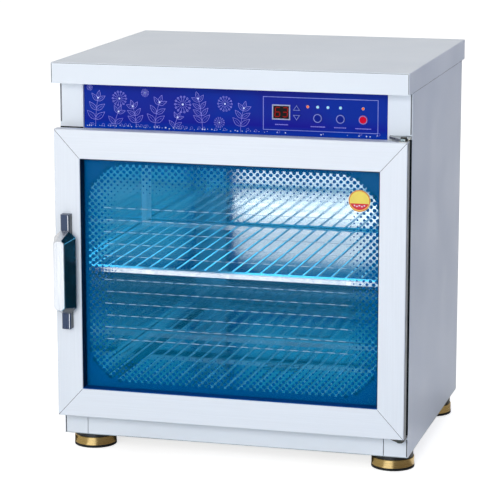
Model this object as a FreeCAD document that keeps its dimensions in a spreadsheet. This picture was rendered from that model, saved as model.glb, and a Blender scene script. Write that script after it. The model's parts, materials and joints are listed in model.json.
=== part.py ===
import FreeCAD, Part
import math
import os
import Sketcher

# Counter-top dish sterilizer cabinet, millimetres.
# +X is the right side, +Y runs from the door to the back, +Z is up.
# The origin is on the floor, under the centre of the bounding box.

Vector = FreeCAD.Vector
doc = FreeCAD.newDocument("dish_sterilizer_cabinet")

# ---------------------------------------------------------------- driving sizes

SIZES = {
    # casing
    "lid_width": 500,
    "lid_depth": 427,
    "apron_height": 29,
    "lid_radius": 1.5,
    "lid_gap": 0.5,
    "sheet": 1,
    "bend_radius": 0.9,
    "body_height": 534,
    "body_depth": 380,
    "front_overhang": 32,
    "post_width": 34,
    "post_return": 8,
    "joint_gap": 0.8,
    "pan_flange": 12,
    "rail_flange": 13,
    "plinth_height": 33.5,
    "panel_height": 63.5,
    # inner tank
    "liner_sheet": 0.8,
    "wall_gap": 6,
    "rear_gap": 12,
    "floor_rise": 10.5,
    "ceiling_drop": 22.5,
    "sill_height": 10,
    "header_drop": 2,
    # door
    "door_setback": 2,
    "door_side_gap": 0.65,
    "frame_depth": 16.5,
    "frame_wall": 1.2,
    "frame_lip": 7,
    "frame_radius": 1.6,
    "stile_width": 37,
    "rail_width": 40.5,
    "mitre_gap": 0.4,
    "glass_thickness": 5,
    "glass_overlap": 7,
    "glass_clearance": 0.3,
    "bead_thickness": 1.2,
    "bead_setback": 2,
    "bead_radius": 0.8,
    "liner_depth": 6.5,
    "liner_inset": 1,
    "gasket_inset": 4.85,
    "gasket_width": 14,
    "gasket_radius": 2,
    "seal_gap": 0.5,
    "key_leg": 60,
    "key_width": 20,
    "key_thickness": 3,
    # hinge
    "pivot_inset": 7,
    "pivot_setback": 10,
    "pin_radius": 3,
    "pin_clearance": 0.05,
    "pin_depth": 11,
    "pin_head_radius": 4.5,
    "pin_head_height": 2,
    "bush_wall": 2,
    "bush_flange": 0.8,
    "bush_flange_radius": 6.5,
    "bracket_width": 29,
    "bracket_sheet": 3,
    "bracket_tail": 14,
    "bracket_nose": 6,
    "door_gap": 1.5,
    "slot_clearance": 0.3,
    # handle
    "handle_proud": 39,
    "handle_length": 162,
    "handle_rise": 5.5,
    "handle_base_width": 13,
    "handle_base_depth": 12,
    "handle_base_chamfer": 1.5,
    "grip_length": 118,
    "grip_base_width": 32,
    "grip_point_width": 12,
    "grip_taper": 9,
    "grip_front_length": 98,
    "grip_front_width": 15.6,
    "grip_front_point": 7,
    "grip_front_taper": 4,
    "grip_bevel": 0.7,
    "handle_screw_radius": 2,
    "handle_screw_inset": 12,
    "handle_screw_length": 12,
    "screw_head_radius": 3.6,
    "screw_head_height": 2.4,
    "hole_clearance": 0.1,
    # control panel; levels are above the door, insets are from the right post
    "fascia_recess": 4,
    "fascia_thickness": 3,
    "fascia_hidden": 8,
    "display_width": 23.6,
    "display_height": 19,
    "display_inset": 147.5,
    "display_level": 30,
    "bezel_width": 1.6,
    "bezel_proud": 0.8,
    "display_recess": 1,
    "arrow_inset": 126,
    "arrow_width": 10,
    "arrow_height": 7.6,
    "arrow_up_level": 36.8,
    "arrow_down_level": 23.2,
    "light_level": 38.7,
    "light_radius": 2,
    "light_proud": 0.6,
    "mode_light_a": 110.6,
    "mode_light_b": 96.8,
    "mode_light_c": 82.6,
    "mode_light_d": 65.3,
    "power_inset": 34.2,
    "button_level": 23.5,
    "button_radius": 6,
    "button_proud": 1,
    "button_flange": 1.2,
    "button_flange_width": 1.6,
    "button_clearance": 0.35,
    "button_travel": 0.8,
    "timer_button_inset": 96.8,
    "mode_button_inset": 65.3,
    "board_standoff": 6.5,
    "board_thickness": 1.6,
    "board_margin": 12,
    "board_drop": 14,
    "post_radius": 2.5,
    # shelves
    "lower_shelf_height": 21,
    "shelf_pitch": 177,
    "shelf_side_gap": 1.5,
    "shelf_front_gap": 4,
    "shelf_back_gap": 3,
    "shelf_bar_height": 7,
    "shelf_bar_depth": 14,
    "shelf_side_width": 7,
    "wire_radius": 1.5,
    "wire_pitch": 20,
    "wire_weld": 1,
    "bracket_leg": 12,
    "bracket_leaf": 1.2,
    "rest_gap": 0.3,
    # germicidal lamp, ballast, heater and fan
    "lamp_length": 288,
    "lamp_radius": 7.75,
    "lamp_drop": 17,
    "lamp_cap_length": 12,
    "lamp_cap_wall": 0.3,
    "socket_length": 16,
    "socket_width": 20,
    "reflector_sheet": 0.6,
    "reflector_width": 60,
    "reflector_depth": 8,
    "starter_radius": 10.5,
    "starter_height": 36,
    "ballast_length": 90,
    "ballast_width": 40,
    "ballast_height": 30,
    "fan_size": 80,
    "fan_depth": 25,
    "fan_corner": 8,
    "fan_wall": 2.5,
    "fan_hub_radius": 17,
    "fan_tip_gap": 1.5,
    "fan_axle_radius": 2,
    "fan_blades": 7,
    "blade_thickness": 1.4,
    "blade_pitch": 35,
    "slot_width": 4,
    "slot_length": 60,
    "slot_pitch": 9,
    "slot_count": 8,
    "heater_radius": 4,
    "heater_span": 120,
    "heater_pitch": 28,
    "heater_lift": 8,
    "clip_width": 8,
    "clip_sheet": 1,
    # back
    "vent_width": 4,
    "vent_height": 26,
    "vent_pitch": 10,
    "vent_count": 12,
    "gland_radius": 8,
    "gland_bore": 4,
    "gland_flange_radius": 12,
    "gland_flange": 3,
    "gland_proud": 10,
    "gland_inset": 60,
    "gland_height": 60,
    "case_screw_radius": 3.5,
    "case_screw_crown": 2.2,
    "case_screw_head": 1.8,
    "case_screw_inset": 8,
    # feet
    "foot_height": 26,
    "foot_radius": 30,
    "foot_core_radius": 28.6,
    "ring_top": 15.6,
    "ring_bottom": 2.2,
    "pad_height": 4.5,
    "pad_bevel": 2.4,
    "foot_side_inset": 30,
    "foot_front_inset": 46,
    "foot_bolt_radius": 4,
    "foot_bolt_head_radius": 7.5,
    "foot_bolt_head": 5,
}

sheet = doc.addObject("Spreadsheet::Sheet", "Sizes")
for row, (alias, value) in enumerate(SIZES.items(), start=1):
    sheet.set(f"A{row}", alias)
    sheet.set(f"B{row}", str(value))
    sheet.setAlias(f"B{row}", alias)
doc.recompute()


class Aliases:
    """S.sheet stands for the cell 'Sizes.sheet' in an expression."""

    def __getattr__(self, alias):
        return "Sizes." + alias


S = Aliases()


def number(expression):
    """Present value of an expression, in millimetres."""
    value = sheet.evalExpression(str(expression))
    return float(getattr(value, "Value", value))


# ---------------------------------------------------------------- stations
# Each station is an expression in the sheet's aliases.

BODY_HALF = f"({S.lid_width} / 2 - {S.sheet} - {S.lid_gap})"
POST_EDGE = f"({BODY_HALF} - {S.post_width})"
TANK_HALF = f"({BODY_HALF} - {S.sheet} - {S.wall_gap} - {S.liner_sheet})"
DOOR_HALF = f"({BODY_HALF} - {S.door_side_gap})"
WINDOW_HALF = f"({DOOR_HALF} - {S.stile_width})"

Y_LID = f"(({S.handle_proud} - {S.door_setback} - {S.lid_depth}) / 2)"
Y_DOOR = f"({Y_LID} + {S.door_setback})"
Y_GLASS = f"({Y_DOOR} + {S.frame_depth})"
Y_GASKET = f"({Y_GLASS} + {S.liner_depth})"
Y_BODY = f"({Y_LID} + {S.front_overhang})"
Y_REAR = f"({Y_BODY} + {S.body_depth})"
Y_TANK_FRONT = f"({Y_BODY} + {S.sheet})"
Y_TANK_BACK = f"({Y_REAR} - {S.sheet} - {S.rear_gap} - {S.liner_sheet})"
Y_PLATE_FRONT = f"({Y_BODY} + {S.post_return} + {S.joint_gap})"
Y_FASCIA = f"({Y_BODY} + {S.fascia_recess})"

Z_BASE = S.foot_height
Z_PAN = f"({S.foot_height} + {S.sheet})"
Z_TOP = f"({S.foot_height} + {S.body_height})"
Z_LID_INNER = f"({Z_TOP} - {S.sheet})"
Z_APRON = f"({Z_TOP} - {S.apron_height})"
Z_DOOR = f"({S.foot_height} + {S.plinth_height})"
Z_DOOR_TOP = f"({Z_APRON} - {S.panel_height})"
Z_WINDOW = f"({Z_DOOR} + {S.rail_width})"
Z_WINDOW_TOP = f"({Z_DOOR_TOP} - {S.rail_width})"
Z_FLOOR = f"({Z_DOOR} + {S.floor_rise})"
Z_CEILING = f"({Z_DOOR_TOP} - {S.ceiling_drop})"
Z_CEILING_TOP = f"({Z_CEILING} + {S.liner_sheet})"
Z_SILL = f"({Z_FLOOR} + {S.sill_height})"
Z_HEADER_TOP = f"({Z_DOOR_TOP} - {S.header_drop})"

PIVOT_X = f"({DOOR_HALF} - {S.pivot_inset})"
PIVOT_Y = f"({Y_DOOR} + {S.pivot_setback})"
HANDLE_X = f"(-{DOOR_HALF} + {S.stile_width} / 2)"
HANDLE_Z = f"(({Z_DOOR} + {Z_DOOR_TOP}) / 2 + {S.handle_rise})"

nodes = []


def label(obj, name):
    """Name a finished sub-part, which becomes a node."""
    obj.Label = name
    nodes.append(obj)
    return obj


def bind(obj, **expressions):
    for prop, expression in expressions.items():
        obj.setExpression(prop, str(expression))
    return obj


def place(obj, x="0", y="0", z="0"):
    for axis, expression in zip("xyz", (x, y, z)):
        obj.setExpression("Placement.Base." + axis, str(expression))
    return obj


# ---------------------------------------------------------------- sketch helpers

def new_body(name):
    return doc.addObject("PartDesign::Body", name)


def sketch_on(body, plane, offset="0"):
    """Empty sketch on one of the body's own origin planes, moved along its normal."""
    sketch = body.newObject("Sketcher::SketchObject", body.Name + "_sketch")
    origin = [f for f in body.Origin.OriginFeatures if f.Role == plane + "_Plane"][0]
    sketch.AttachmentSupport = (origin, [""])
    sketch.MapMode = "FlatFace"
    sketch.setExpression("AttachmentOffset.Base.z", str(offset))
    return sketch


def dimension(sketch, kind, geometry, point, expression):
    constraint = Sketcher.Constraint(kind, -1, 1, geometry, point, number(expression))
    index = sketch.addConstraint(constraint)
    sketch.setExpression(f"Constraints[{index}]", str(expression))


def outline(sketch, points):
    """Closed outline through corners whose coordinates are expressions."""
    first = sketch.GeometryCount
    count = len(points)
    corners = [Vector(number(u), number(v), 0) for u, v in points]
    for i in range(count):
        sketch.addGeometry(Part.LineSegment(corners[i], corners[(i + 1) % count]), False)
    for i in range(count):
        joint = Sketcher.Constraint("Coincident", first + i, 2, first + (i + 1) % count, 1)
        sketch.addConstraint(joint)
    for i, (u, v) in enumerate(points):
        dimension(sketch, "DistanceX", first + i, 1, u)
        dimension(sketch, "DistanceY", first + i, 1, v)


def rectangle(sketch, u0, u1, v0, v1):
    outline(sketch, [(u0, v0), (u1, v0), (u1, v1), (u0, v1)])


def circle(sketch, u, v, radius):
    centre = Vector(number(u), number(v), 0)
    geometry = sketch.addGeometry(Part.Circle(centre, Vector(0, 0, 1), number(radius)), False)
    dimension(sketch, "DistanceX", geometry, 3, u)
    dimension(sketch, "DistanceY", geometry, 3, v)
    index = sketch.addConstraint(Sketcher.Constraint("Radius", geometry, number(radius)))
    sketch.setExpression(f"Constraints[{index}]", str(radius))


def pad(body, sketch, length):
    feature = body.newObject("PartDesign::Pad", body.Name + "_pad")
    feature.Profile = sketch
    bind(feature, Length=length)
    return feature


def pocket(body, sketch, length, along_normal=False):
    """Cut against the sketch's normal, or along it; the cut has to remove material."""
    doc.recompute()
    before = body.Shape.Volume
    feature = body.newObject("PartDesign::Pocket", body.Name + "_pocket")
    feature.Profile = sketch
    feature.Reversed = along_normal
    bind(feature, Length=length)
    doc.recompute()
    if body.Shape.Volume >= before:
        raise ValueError(f"{feature.Name} cuts nothing")
    return feature


def revolve(body, sketch):
    feature = body.newObject("PartDesign::Revolution", body.Name + "_revolution")
    feature.Profile = sketch
    feature.ReferenceAxis = (sketch, ["V_Axis"])
    feature.Angle = 360
    return feature


def linear_pattern(body, feature, sketch, axis, length, count):
    pattern = body.newObject("PartDesign::LinearPattern", body.Name + "_pattern")
    pattern.Originals = [feature]
    pattern.Direction = (sketch, [axis])
    bind(pattern, Length=length, Occurrences=count)
    body.Tip = pattern
    return pattern


def fillet_edges(body, base, radius, chosen):
    """Round the edges of a feature that the test function picks."""
    doc.recompute()
    edges = [f"Edge{i}" for i, edge in enumerate(base.Shape.Edges, start=1) if chosen(edge)]
    feature = body.newObject("PartDesign::Fillet", body.Name + "_fillet")
    feature.Base = (base, edges)
    bind(feature, Radius=radius)
    return feature


def runs_along(edge, axis):
    """True for a straight edge parallel to the axis."""
    if not isinstance(edge.Curve, Part.Line):
        return False
    return abs(edge.Curve.Direction.dot(axis)) > 0.999


# ---------------------------------------------------------------- primitive helpers

def box(name, x0, x1, y0, y1, z0, z1):
    solid = doc.addObject("Part::Box", name)
    bind(solid, Length=f"{x1} - ({x0})", Width=f"{y1} - ({y0})", Height=f"{z1} - ({z0})")
    return place(solid, x0, y0, z0)


AXIS_TURN = {
    "X": FreeCAD.Rotation(Vector(0, 1, 0), 90),
    "Y": FreeCAD.Rotation(Vector(1, 0, 0), -90),
    "Z": FreeCAD.Rotation(),
}


def cylinder(name, radius, height, x, y, z, axis="Z"):
    solid = doc.addObject("Part::Cylinder", name)
    bind(solid, Radius=radius, Height=height)
    solid.Placement = FreeCAD.Placement(Vector(), AXIS_TURN[axis])
    return place(solid, x, y, z)


def cut(name, base, tool):
    result = doc.addObject("Part::Cut", name)
    result.Base = base
    result.Tool = tool
    return result


def fuse(name, shapes):
    result = doc.addObject("Part::MultiFuse", name)
    result.Shapes = shapes
    result.Refine = True
    return result


def group(name, solids):
    """Separate identical solids that share one node."""
    result = doc.addObject("Part::Compound", name)
    result.Links = solids
    return label(result, name)


# ---------------------------------------------------------------- casing

def side_panel(name, side):
    """Folded sheet: door post, side wall and rear flange in one piece."""
    body = new_body(name)
    sketch = sketch_on(body, "XY")
    outer = f"{side} * {BODY_HALF}"
    inner = f"{side} * ({BODY_HALF} - {S.sheet})"
    edge = f"{side} * {POST_EDGE}"
    edge_inner = f"{side} * ({POST_EDGE} + {S.sheet})"
    flange = f"{side} * ({BODY_HALF} - {S.rail_flange})"
    back = f"{Y_REAR} - {S.sheet}"
    outline(sketch, [
        (outer, back),
        (outer, Y_BODY),
        (edge, Y_BODY),
        (edge, f"{Y_BODY} + {S.post_return}"),
        (edge_inner, f"{Y_BODY} + {S.post_return}"),
        (edge_inner, f"{Y_BODY} + {S.sheet}"),
        (inner, f"{Y_BODY} + {S.sheet}"),
        (inner, f"{back} - {S.sheet}"),
        (flange, f"{back} - {S.sheet}"),
        (flange, back),
    ])
    wall = pad(body, sketch, f"{Z_LID_INNER} - {Z_PAN}")
    folds = [
        (number(outer), number(back)), (number(outer), number(Y_BODY)), (number(edge), number(Y_BODY)),
    ]

    def folded_edge(fold):
        middle = fold.CenterOfMass
        return runs_along(fold, Vector(0, 0, 1)) and any(
            math.hypot(middle.x - x, middle.y - y) < 1e-3 for x, y in folds)

    fillet_edges(body, wall, S.bend_radius, folded_edge)
    place(body, z=Z_PAN)
    return body


label(side_panel("left_side_panel", -1), "left_side_panel")

right_panel = side_panel("right_panel_sheet", 1)
HINGE_RIGHT = f"({BODY_HALF} - {S.sheet} - {S.slot_clearance})"
HINGE_LEFT = f"({HINGE_RIGHT} - {S.bracket_width})"
HINGE_PLATES = {
    "top": f"({Z_DOOR_TOP} + {S.door_gap})",
    "bottom": f"({Z_DOOR} - {S.door_gap} - {S.bracket_sheet})",
}
hinge_slots = [
    box(
        end + "_hinge_slot",
        f"{HINGE_LEFT} - {S.slot_clearance}", f"{HINGE_RIGHT} + {S.slot_clearance}",
        f"{Y_BODY} - {S.sheet}", f"{Y_BODY} + {S.sheet}",
        f"{level} - {S.slot_clearance}", f"{level} + {S.bracket_sheet} + {S.slot_clearance}",
    )
    for end, level in HINGE_PLATES.items()
]
label(cut("right_side_panel", right_panel, fuse("hinge_slots", hinge_slots)), "right_side_panel")


def lid():
    """Tray-shaped top with an apron all round and a return under the front overhang."""
    body = new_body("lid")
    half = f"{S.lid_width} / 2"
    sketch = sketch_on(body, "XY")
    rectangle(sketch, f"-{half}", half, Y_LID, f"{Y_LID} + {S.lid_depth}")
    tray = pad(body, sketch, S.apron_height)
    top = number(S.apron_height)

    def outer_edge(edge):
        middle = edge.CenterOfMass
        return abs(middle.z - top) < 1e-3 or runs_along(edge, Vector(0, 0, 1))

    fillet_edges(body, tray, S.lid_radius, outer_edge)
    hollow = sketch_on(body, "XY")
    rectangle(
        hollow,
        f"-({half} - {S.sheet})", f"{half} - {S.sheet}",
        f"{Y_BODY} - {S.lid_gap}", f"{Y_LID} + {S.lid_depth} - {S.sheet}",
    )
    pocket(body, hollow, f"{S.apron_height} - {S.sheet}", along_normal=True)
    overhang = sketch_on(body, "XY", S.sheet)
    rectangle(
        overhang,
        f"-({half} - {S.sheet})", f"{half} - {S.sheet}",
        f"{Y_LID} + {S.sheet}", f"{Y_BODY} - {S.lid_gap} + {S.sheet}",
    )
    pocket(body, overhang, f"{S.apron_height} - 2 * {S.sheet}", along_normal=True)
    place(body, z=Z_APRON)
    return body


label(lid(), "lid")


def bottom_pan():
    body = new_body("bottom_pan")
    sketch = sketch_on(body, "XY")
    rectangle(sketch, f"-{BODY_HALF}", BODY_HALF, Y_BODY, Y_REAR)
    pad(body, sketch, S.sheet)
    flanges = sketch_on(body, "XY", S.sheet)
    for side in (-1, 1):
        rectangle(
            flanges,
            f"{side} * ({BODY_HALF} - {S.sheet})", f"{side} * ({BODY_HALF} - 2 * {S.sheet})",
            f"{Y_BODY} + {S.rail_flange}", f"{Y_REAR} - 2 * {S.sheet}",
        )
    pad(body, flanges, S.pan_flange)
    holes = sketch_on(body, "XY")
    for x, y in FOOT_CENTRES:
        circle(holes, x, y, f"{S.foot_bolt_radius} + {S.hole_clearance}")
    pocket(body, holes, S.sheet, along_normal=True)
    place(body, z=Z_BASE)
    return body


FOOT_X = f"({BODY_HALF} - {S.foot_side_inset})"
FOOT_FRONT = f"({Y_BODY} + {S.foot_front_inset})"
FOOT_REAR = f"({Y_REAR} - {S.foot_front_inset})"
FOOT_CENTRES = [(f"{side} * {FOOT_X}", y) for y in (FOOT_FRONT, FOOT_REAR) for side in (-1, 1)]

label(bottom_pan(), "bottom_pan")

VENT_SPAN = f"({S.vent_pitch} * ({S.vent_count} - 1))"
VENT_LEVEL = f"({Z_LID_INNER} - {S.apron_height} - 2 * {S.vent_height})"
GLAND_X = f"(-{BODY_HALF} + {S.gland_inset})"
GLAND_Z = f"({Z_BASE} + {S.gland_height})"


def back_panel():
    """Flat rear cover with two rows of vent slots and the gland's hole."""
    body = new_body("back_panel")
    sketch = sketch_on(body, "XZ", f"-{Y_REAR}")
    rectangle(sketch, f"-{BODY_HALF}", BODY_HALF, Z_PAN, Z_LID_INNER)
    pad(body, sketch, S.sheet)
    gland = sketch_on(body, "XZ", f"-{Y_REAR} + {S.sheet}")
    circle(gland, GLAND_X, GLAND_Z, f"{S.gland_radius} + {S.hole_clearance}")
    pocket(body, gland, S.sheet)
    for side in (-1, 1):
        slot = sketch_on(body, "XZ", f"-{Y_REAR} + {S.sheet}")
        centre = f"{side} * {BODY_HALF} / 2"
        start = f"{centre} - {VENT_SPAN} / 2"
        rectangle(
            slot,
            f"{start} - {S.vent_width} / 2", f"{start} + {S.vent_width} / 2",
            VENT_LEVEL, f"{VENT_LEVEL} + {S.vent_height}",
        )
        opening = pocket(body, slot, S.sheet)
        linear_pattern(body, opening, slot, "H_Axis", VENT_SPAN, S.vent_count)
    return body


label(back_panel(), "back_panel")


def front_channel(name, bottom, top, folded_below):
    """Strip between the posts, folded back along its top and, if asked, its bottom."""
    body = new_body(name)
    half = f"({POST_EDGE} - {S.joint_gap})"
    inner = f"({Y_BODY} + {S.sheet})"
    flange = f"({Y_BODY} + {S.rail_flange})"
    foot = [(Y_BODY, bottom), (inner, bottom)]
    if folded_below:
        fold = f"{bottom} + {S.sheet}"
        foot = [(Y_BODY, bottom), (flange, bottom), (flange, fold), (inner, fold)]
    sketch = sketch_on(body, "YZ", f"-{half}")
    outline(sketch, foot + [
        (inner, f"{top} - {S.sheet}"),
        (flange, f"{top} - {S.sheet}"),
        (flange, top),
        (Y_BODY, top),
    ])
    pad(body, sketch, f"2 * {half}")
    return body


label(front_channel("front_bottom_rail", Z_PAN, Z_SILL, False), "front_bottom_rail")
label(front_channel("front_header", Z_CEILING_TOP, Z_HEADER_TOP, True), "front_header")

# ---------------------------------------------------------------- control panel

DISPLAY_Z = f"({Z_DOOR_TOP} + {S.display_level})"
LIGHT_Z = f"({Z_DOOR_TOP} + {S.light_level})"
BUTTON_Z = f"({Z_DOOR_TOP} + {S.button_level})"
DISPLAY_X = f"({POST_EDGE} - {S.display_inset})"
ARROW_X = f"({POST_EDGE} - {S.arrow_inset})"
POWER_X = f"({POST_EDGE} - {S.power_inset})"
BUTTONS = {
    "timer_button": f"({POST_EDGE} - {S.timer_button_inset})",
    "mode_button": f"({POST_EDGE} - {S.mode_button_inset})",
    "power_button": POWER_X,
}
ARROWS = {
    "up_key": (f"({Z_DOOR_TOP} + {S.arrow_up_level})", 1),
    "down_key": (f"({Z_DOOR_TOP} + {S.arrow_down_level})", -1),
}
MODE_LIGHTS = [S.mode_light_a, S.mode_light_b, S.mode_light_c, S.mode_light_d]
LIGHTS = [f"({POST_EDGE} - {inset})" for inset in MODE_LIGHTS] + [POWER_X]
Z_FASCIA_TOP = f"({Z_APRON} + {S.fascia_hidden})"
Y_FASCIA_BACK = f"({Y_FASCIA} + {S.fascia_thickness})"
BOARD_LEFT = f"({DISPLAY_X} - {S.display_width} / 2 - {S.board_margin})"
BOARD_RIGHT = f"({POWER_X} + {S.board_margin})"
BOARD_BOTTOM = f"({BUTTON_Z} - {S.board_drop})"
BOARD_TOP = f"({LIGHT_Z} + {S.board_drop})"
BOARD_POSTS = [
    (f"{x} + {dx} * {S.post_radius} * 1.6", f"{z} + {dz} * {S.post_radius} * 1.6")
    for x, dx in ((BOARD_LEFT, 1), (BOARD_RIGHT, -1))
    for z, dz in ((BOARD_BOTTOM, 1), (BOARD_TOP, -1))
]


def arrow(sketch, x, level, direction, grow):
    """Triangle with its point up or down, grown outward by a clearance."""
    half_width = f"({S.arrow_width} / 2 + 1.6 * {grow})"
    half_height = f"({S.arrow_height} / 2 + {grow})"
    outline(sketch, [
        (f"{x} - {half_width}", f"{level} - {direction} * {half_height}"),
        (f"{x} + {half_width}", f"{level} - {direction} * {half_height}"),
        (x, f"{level} + {direction} * ({half_height} + 0.6 * {grow})"),
    ])


def control_fascia():
    """Printed panel between the posts, with openings and four board posts behind."""
    body = new_body("control_fascia")
    half = f"({POST_EDGE} - {S.joint_gap} / 2)"
    sketch = sketch_on(body, "XZ", f"-{Y_FASCIA_BACK}")
    rectangle(sketch, f"-{half}", half, Z_HEADER_TOP, Z_FASCIA_TOP)
    pad(body, sketch, S.fascia_thickness)
    posts = sketch_on(body, "XZ", f"-{Y_FASCIA_BACK} - {S.board_standoff}")
    for x, z in BOARD_POSTS:
        circle(posts, x, z, S.post_radius)
    pad(body, posts, S.board_standoff)
    openings = sketch_on(body, "XZ", f"-{Y_FASCIA}")
    rectangle(
        openings,
        f"{DISPLAY_X} - {S.display_width} / 2", f"{DISPLAY_X} + {S.display_width} / 2",
        f"{DISPLAY_Z} - {S.display_height} / 2", f"{DISPLAY_Z} + {S.display_height} / 2",
    )
    for x in LIGHTS:
        circle(openings, x, LIGHT_Z, f"{S.light_radius} + {S.hole_clearance} / 2")
    for x in BUTTONS.values():
        circle(openings, x, BUTTON_Z, f"{S.button_radius} + {S.button_clearance}")
    for level, direction in ARROWS.values():
        arrow(openings, ARROW_X, level, direction, S.button_clearance)
    pocket(body, openings, S.fascia_thickness)
    return body


label(control_fascia(), "control_fascia")


def display_bezel():
    body = new_body("display_bezel")
    half_x = f"{S.display_width} / 2"
    half_z = f"{S.display_height} / 2"
    sketch = sketch_on(body, "XZ", f"-{Y_FASCIA}")
    grow = S.bezel_width
    rectangle(
        sketch,
        f"{DISPLAY_X} - {half_x} - {grow} / 2", f"{DISPLAY_X} + {half_x} + {grow} / 2",
        f"{DISPLAY_Z} - {half_z} - {grow} / 2", f"{DISPLAY_Z} + {half_z} + {grow} / 2",
    )
    rectangle(
        sketch,
        f"{DISPLAY_X} - {half_x} + {grow} / 2", f"{DISPLAY_X} + {half_x} - {grow} / 2",
        f"{DISPLAY_Z} - {half_z} + {grow} / 2", f"{DISPLAY_Z} + {half_z} - {grow} / 2",
    )
    pad(body, sketch, S.bezel_proud)
    return body


label(display_bezel(), "display_bezel")
label(box(
    "display_module",
    f"{DISPLAY_X} - {S.display_width} / 2 + {S.hole_clearance}",
    f"{DISPLAY_X} + {S.display_width} / 2 - {S.hole_clearance}",
    f"{Y_FASCIA} + {S.display_recess}",
    f"{Y_FASCIA_BACK} + {S.board_standoff}",
    f"{DISPLAY_Z} - {S.display_height} / 2 + {S.hole_clearance}",
    f"{DISPLAY_Z} + {S.display_height} / 2 - {S.hole_clearance}",
), "display_module")


def indicator_light(index, x):
    """Small lamp that stands on the board and shows through the panel."""
    length = f"{S.board_standoff} + {S.fascia_thickness} + {S.light_proud}"
    return cylinder(f"indicator_light_{index}", S.light_radius, length,
                    x, f"{Y_FASCIA} - {S.light_proud}", LIGHT_Z, "Y")


group("indicator_lights", [indicator_light(i, x) for i, x in enumerate(LIGHTS, start=1)])


def control_board():
    """Circuit board with one push switch behind each key."""
    plate = box("board_plate", BOARD_LEFT, BOARD_RIGHT,
                f"{Y_FASCIA_BACK} + {S.board_standoff}",
                f"{Y_FASCIA_BACK} + {S.board_standoff} + {S.board_thickness}",
                BOARD_BOTTOM, BOARD_TOP)
    places = [(x, BUTTON_Z) for x in BUTTONS.values()]
    places += [(ARROW_X, level) for level, _ in ARROWS.values()]
    reach = f"({S.button_flange} + {S.button_travel} + 2 * {S.rest_gap})"
    switches = [
        box(f"tact_switch_{i}", f"{x} - 2.5", f"{x} + 2.5",
            f"{Y_FASCIA_BACK} + {reach}", f"{Y_FASCIA_BACK} + {S.board_standoff}",
            f"{z} - 2.5", f"{z} + 2.5")
        for i, (x, z) in enumerate(places, start=1)
    ]
    return fuse("control_board", [plate] + switches)


label(control_board(), "control_board")


def round_button(name, x):
    """Round cap with a chamfered face and a flange behind the panel."""
    body = new_body(name)
    sketch = sketch_on(body, "XY")
    face = f"-({S.rest_gap} + {S.fascia_thickness} + {S.button_proud})"
    rim = f"{S.button_radius} + {S.button_flange_width}"
    outline(sketch, [
        ("0", S.button_flange),
        (rim, S.button_flange),
        (rim, "0"),
        (S.button_radius, "0"),
        (S.button_radius, f"{face} + {S.button_proud} / 2"),
        (f"{S.button_radius} - {S.button_proud} / 2", face),
        ("0", face),
    ])
    revolve(body, sketch)
    return place(body, x, f"{Y_FASCIA_BACK} + {S.rest_gap}", BUTTON_Z)


for button, centre in BUTTONS.items():
    label(round_button(button, centre), button)


def arrow_key(name, level, direction):
    """Triangular cap with a flange behind the panel."""
    body = new_body(name)
    seat = f"({Y_FASCIA_BACK} + {S.rest_gap})"
    cap = sketch_on(body, "XZ", f"-{seat}")
    arrow(cap, ARROW_X, level, direction, "0")
    pad(body, cap, f"{S.rest_gap} + {S.fascia_thickness} + {S.button_proud}")
    flange = sketch_on(body, "XZ", f"-({seat} + {S.button_flange})")
    arrow(flange, ARROW_X, level, direction, f"({S.button_flange_width} / 2)")
    pad(body, flange, S.button_flange)
    return body


for key, (key_level, key_direction) in ARROWS.items():
    label(arrow_key(key, key_level, key_direction), key)

# ---------------------------------------------------------------- inner tank

for wall, wall_side in (("inner_left_wall", -1), ("inner_right_wall", 1)):
    near = f"{wall_side} * {TANK_HALF}"
    far = f"{wall_side} * ({TANK_HALF} + {S.liner_sheet})"
    low, high = (far, near) if wall_side < 0 else (near, far)
    label(box(wall, low, high, Y_TANK_FRONT, f"{Y_TANK_BACK} + {S.liner_sheet}",
              Z_FLOOR, Z_CEILING), wall)

label(box("inner_back_wall", f"-{TANK_HALF}", TANK_HALF, Y_TANK_BACK,
          f"{Y_TANK_BACK} + {S.liner_sheet}", Z_FLOOR, Z_CEILING), "inner_back_wall")

FAN_Y = f"({Y_TANK_BACK} - {S.fan_size})"


def perforated_sheet(name, z, slots_y):
    """Tank sheet with a row of air slots that run from side to side."""
    body = new_body(name)
    sketch = sketch_on(body, "XY")
    rectangle(sketch, f"-({TANK_HALF} + {S.liner_sheet})", f"{TANK_HALF} + {S.liner_sheet}",
              Y_PLATE_FRONT, f"{Y_TANK_BACK} + {S.liner_sheet}")
    pad(body, sketch, S.liner_sheet)
    slot = sketch_on(body, "XY")
    span = f"({S.slot_pitch} * ({S.slot_count} - 1))"
    start = f"{slots_y} - {span} / 2"
    rectangle(slot, f"-{S.slot_length} / 2", f"{S.slot_length} / 2",
              f"{start} - {S.slot_width} / 2", f"{start} + {S.slot_width} / 2")
    opening = pocket(body, slot, S.liner_sheet, along_normal=True)
    linear_pattern(body, opening, slot, "V_Axis", span, S.slot_count)
    place(body, z=z)
    return body


label(perforated_sheet("inner_floor", f"{Z_FLOOR} - {S.liner_sheet}", FAN_Y), "inner_floor")
label(box("inner_ceiling", f"-({TANK_HALF} + {S.liner_sheet})", f"{TANK_HALF} + {S.liner_sheet}",
          Y_PLATE_FRONT, f"{Y_TANK_BACK} + {S.liner_sheet}", Z_CEILING, Z_CEILING_TOP),
      "inner_ceiling")

# ---------------------------------------------------------------- shelves

SHELF_HALF = f"({TANK_HALF} - {S.shelf_side_gap})"
SHELF_FRONT = f"({Y_BODY} + {S.post_return} + {S.shelf_front_gap})"
SHELF_BACK = f"({Y_TANK_BACK} - {S.shelf_back_gap})"
SHELVES = {
    "lower_shelf": f"({Z_FLOOR} + {S.lower_shelf_height})",
    "upper_shelf": f"({Z_FLOOR} + {S.lower_shelf_height} + {S.shelf_pitch})",
}


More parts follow.
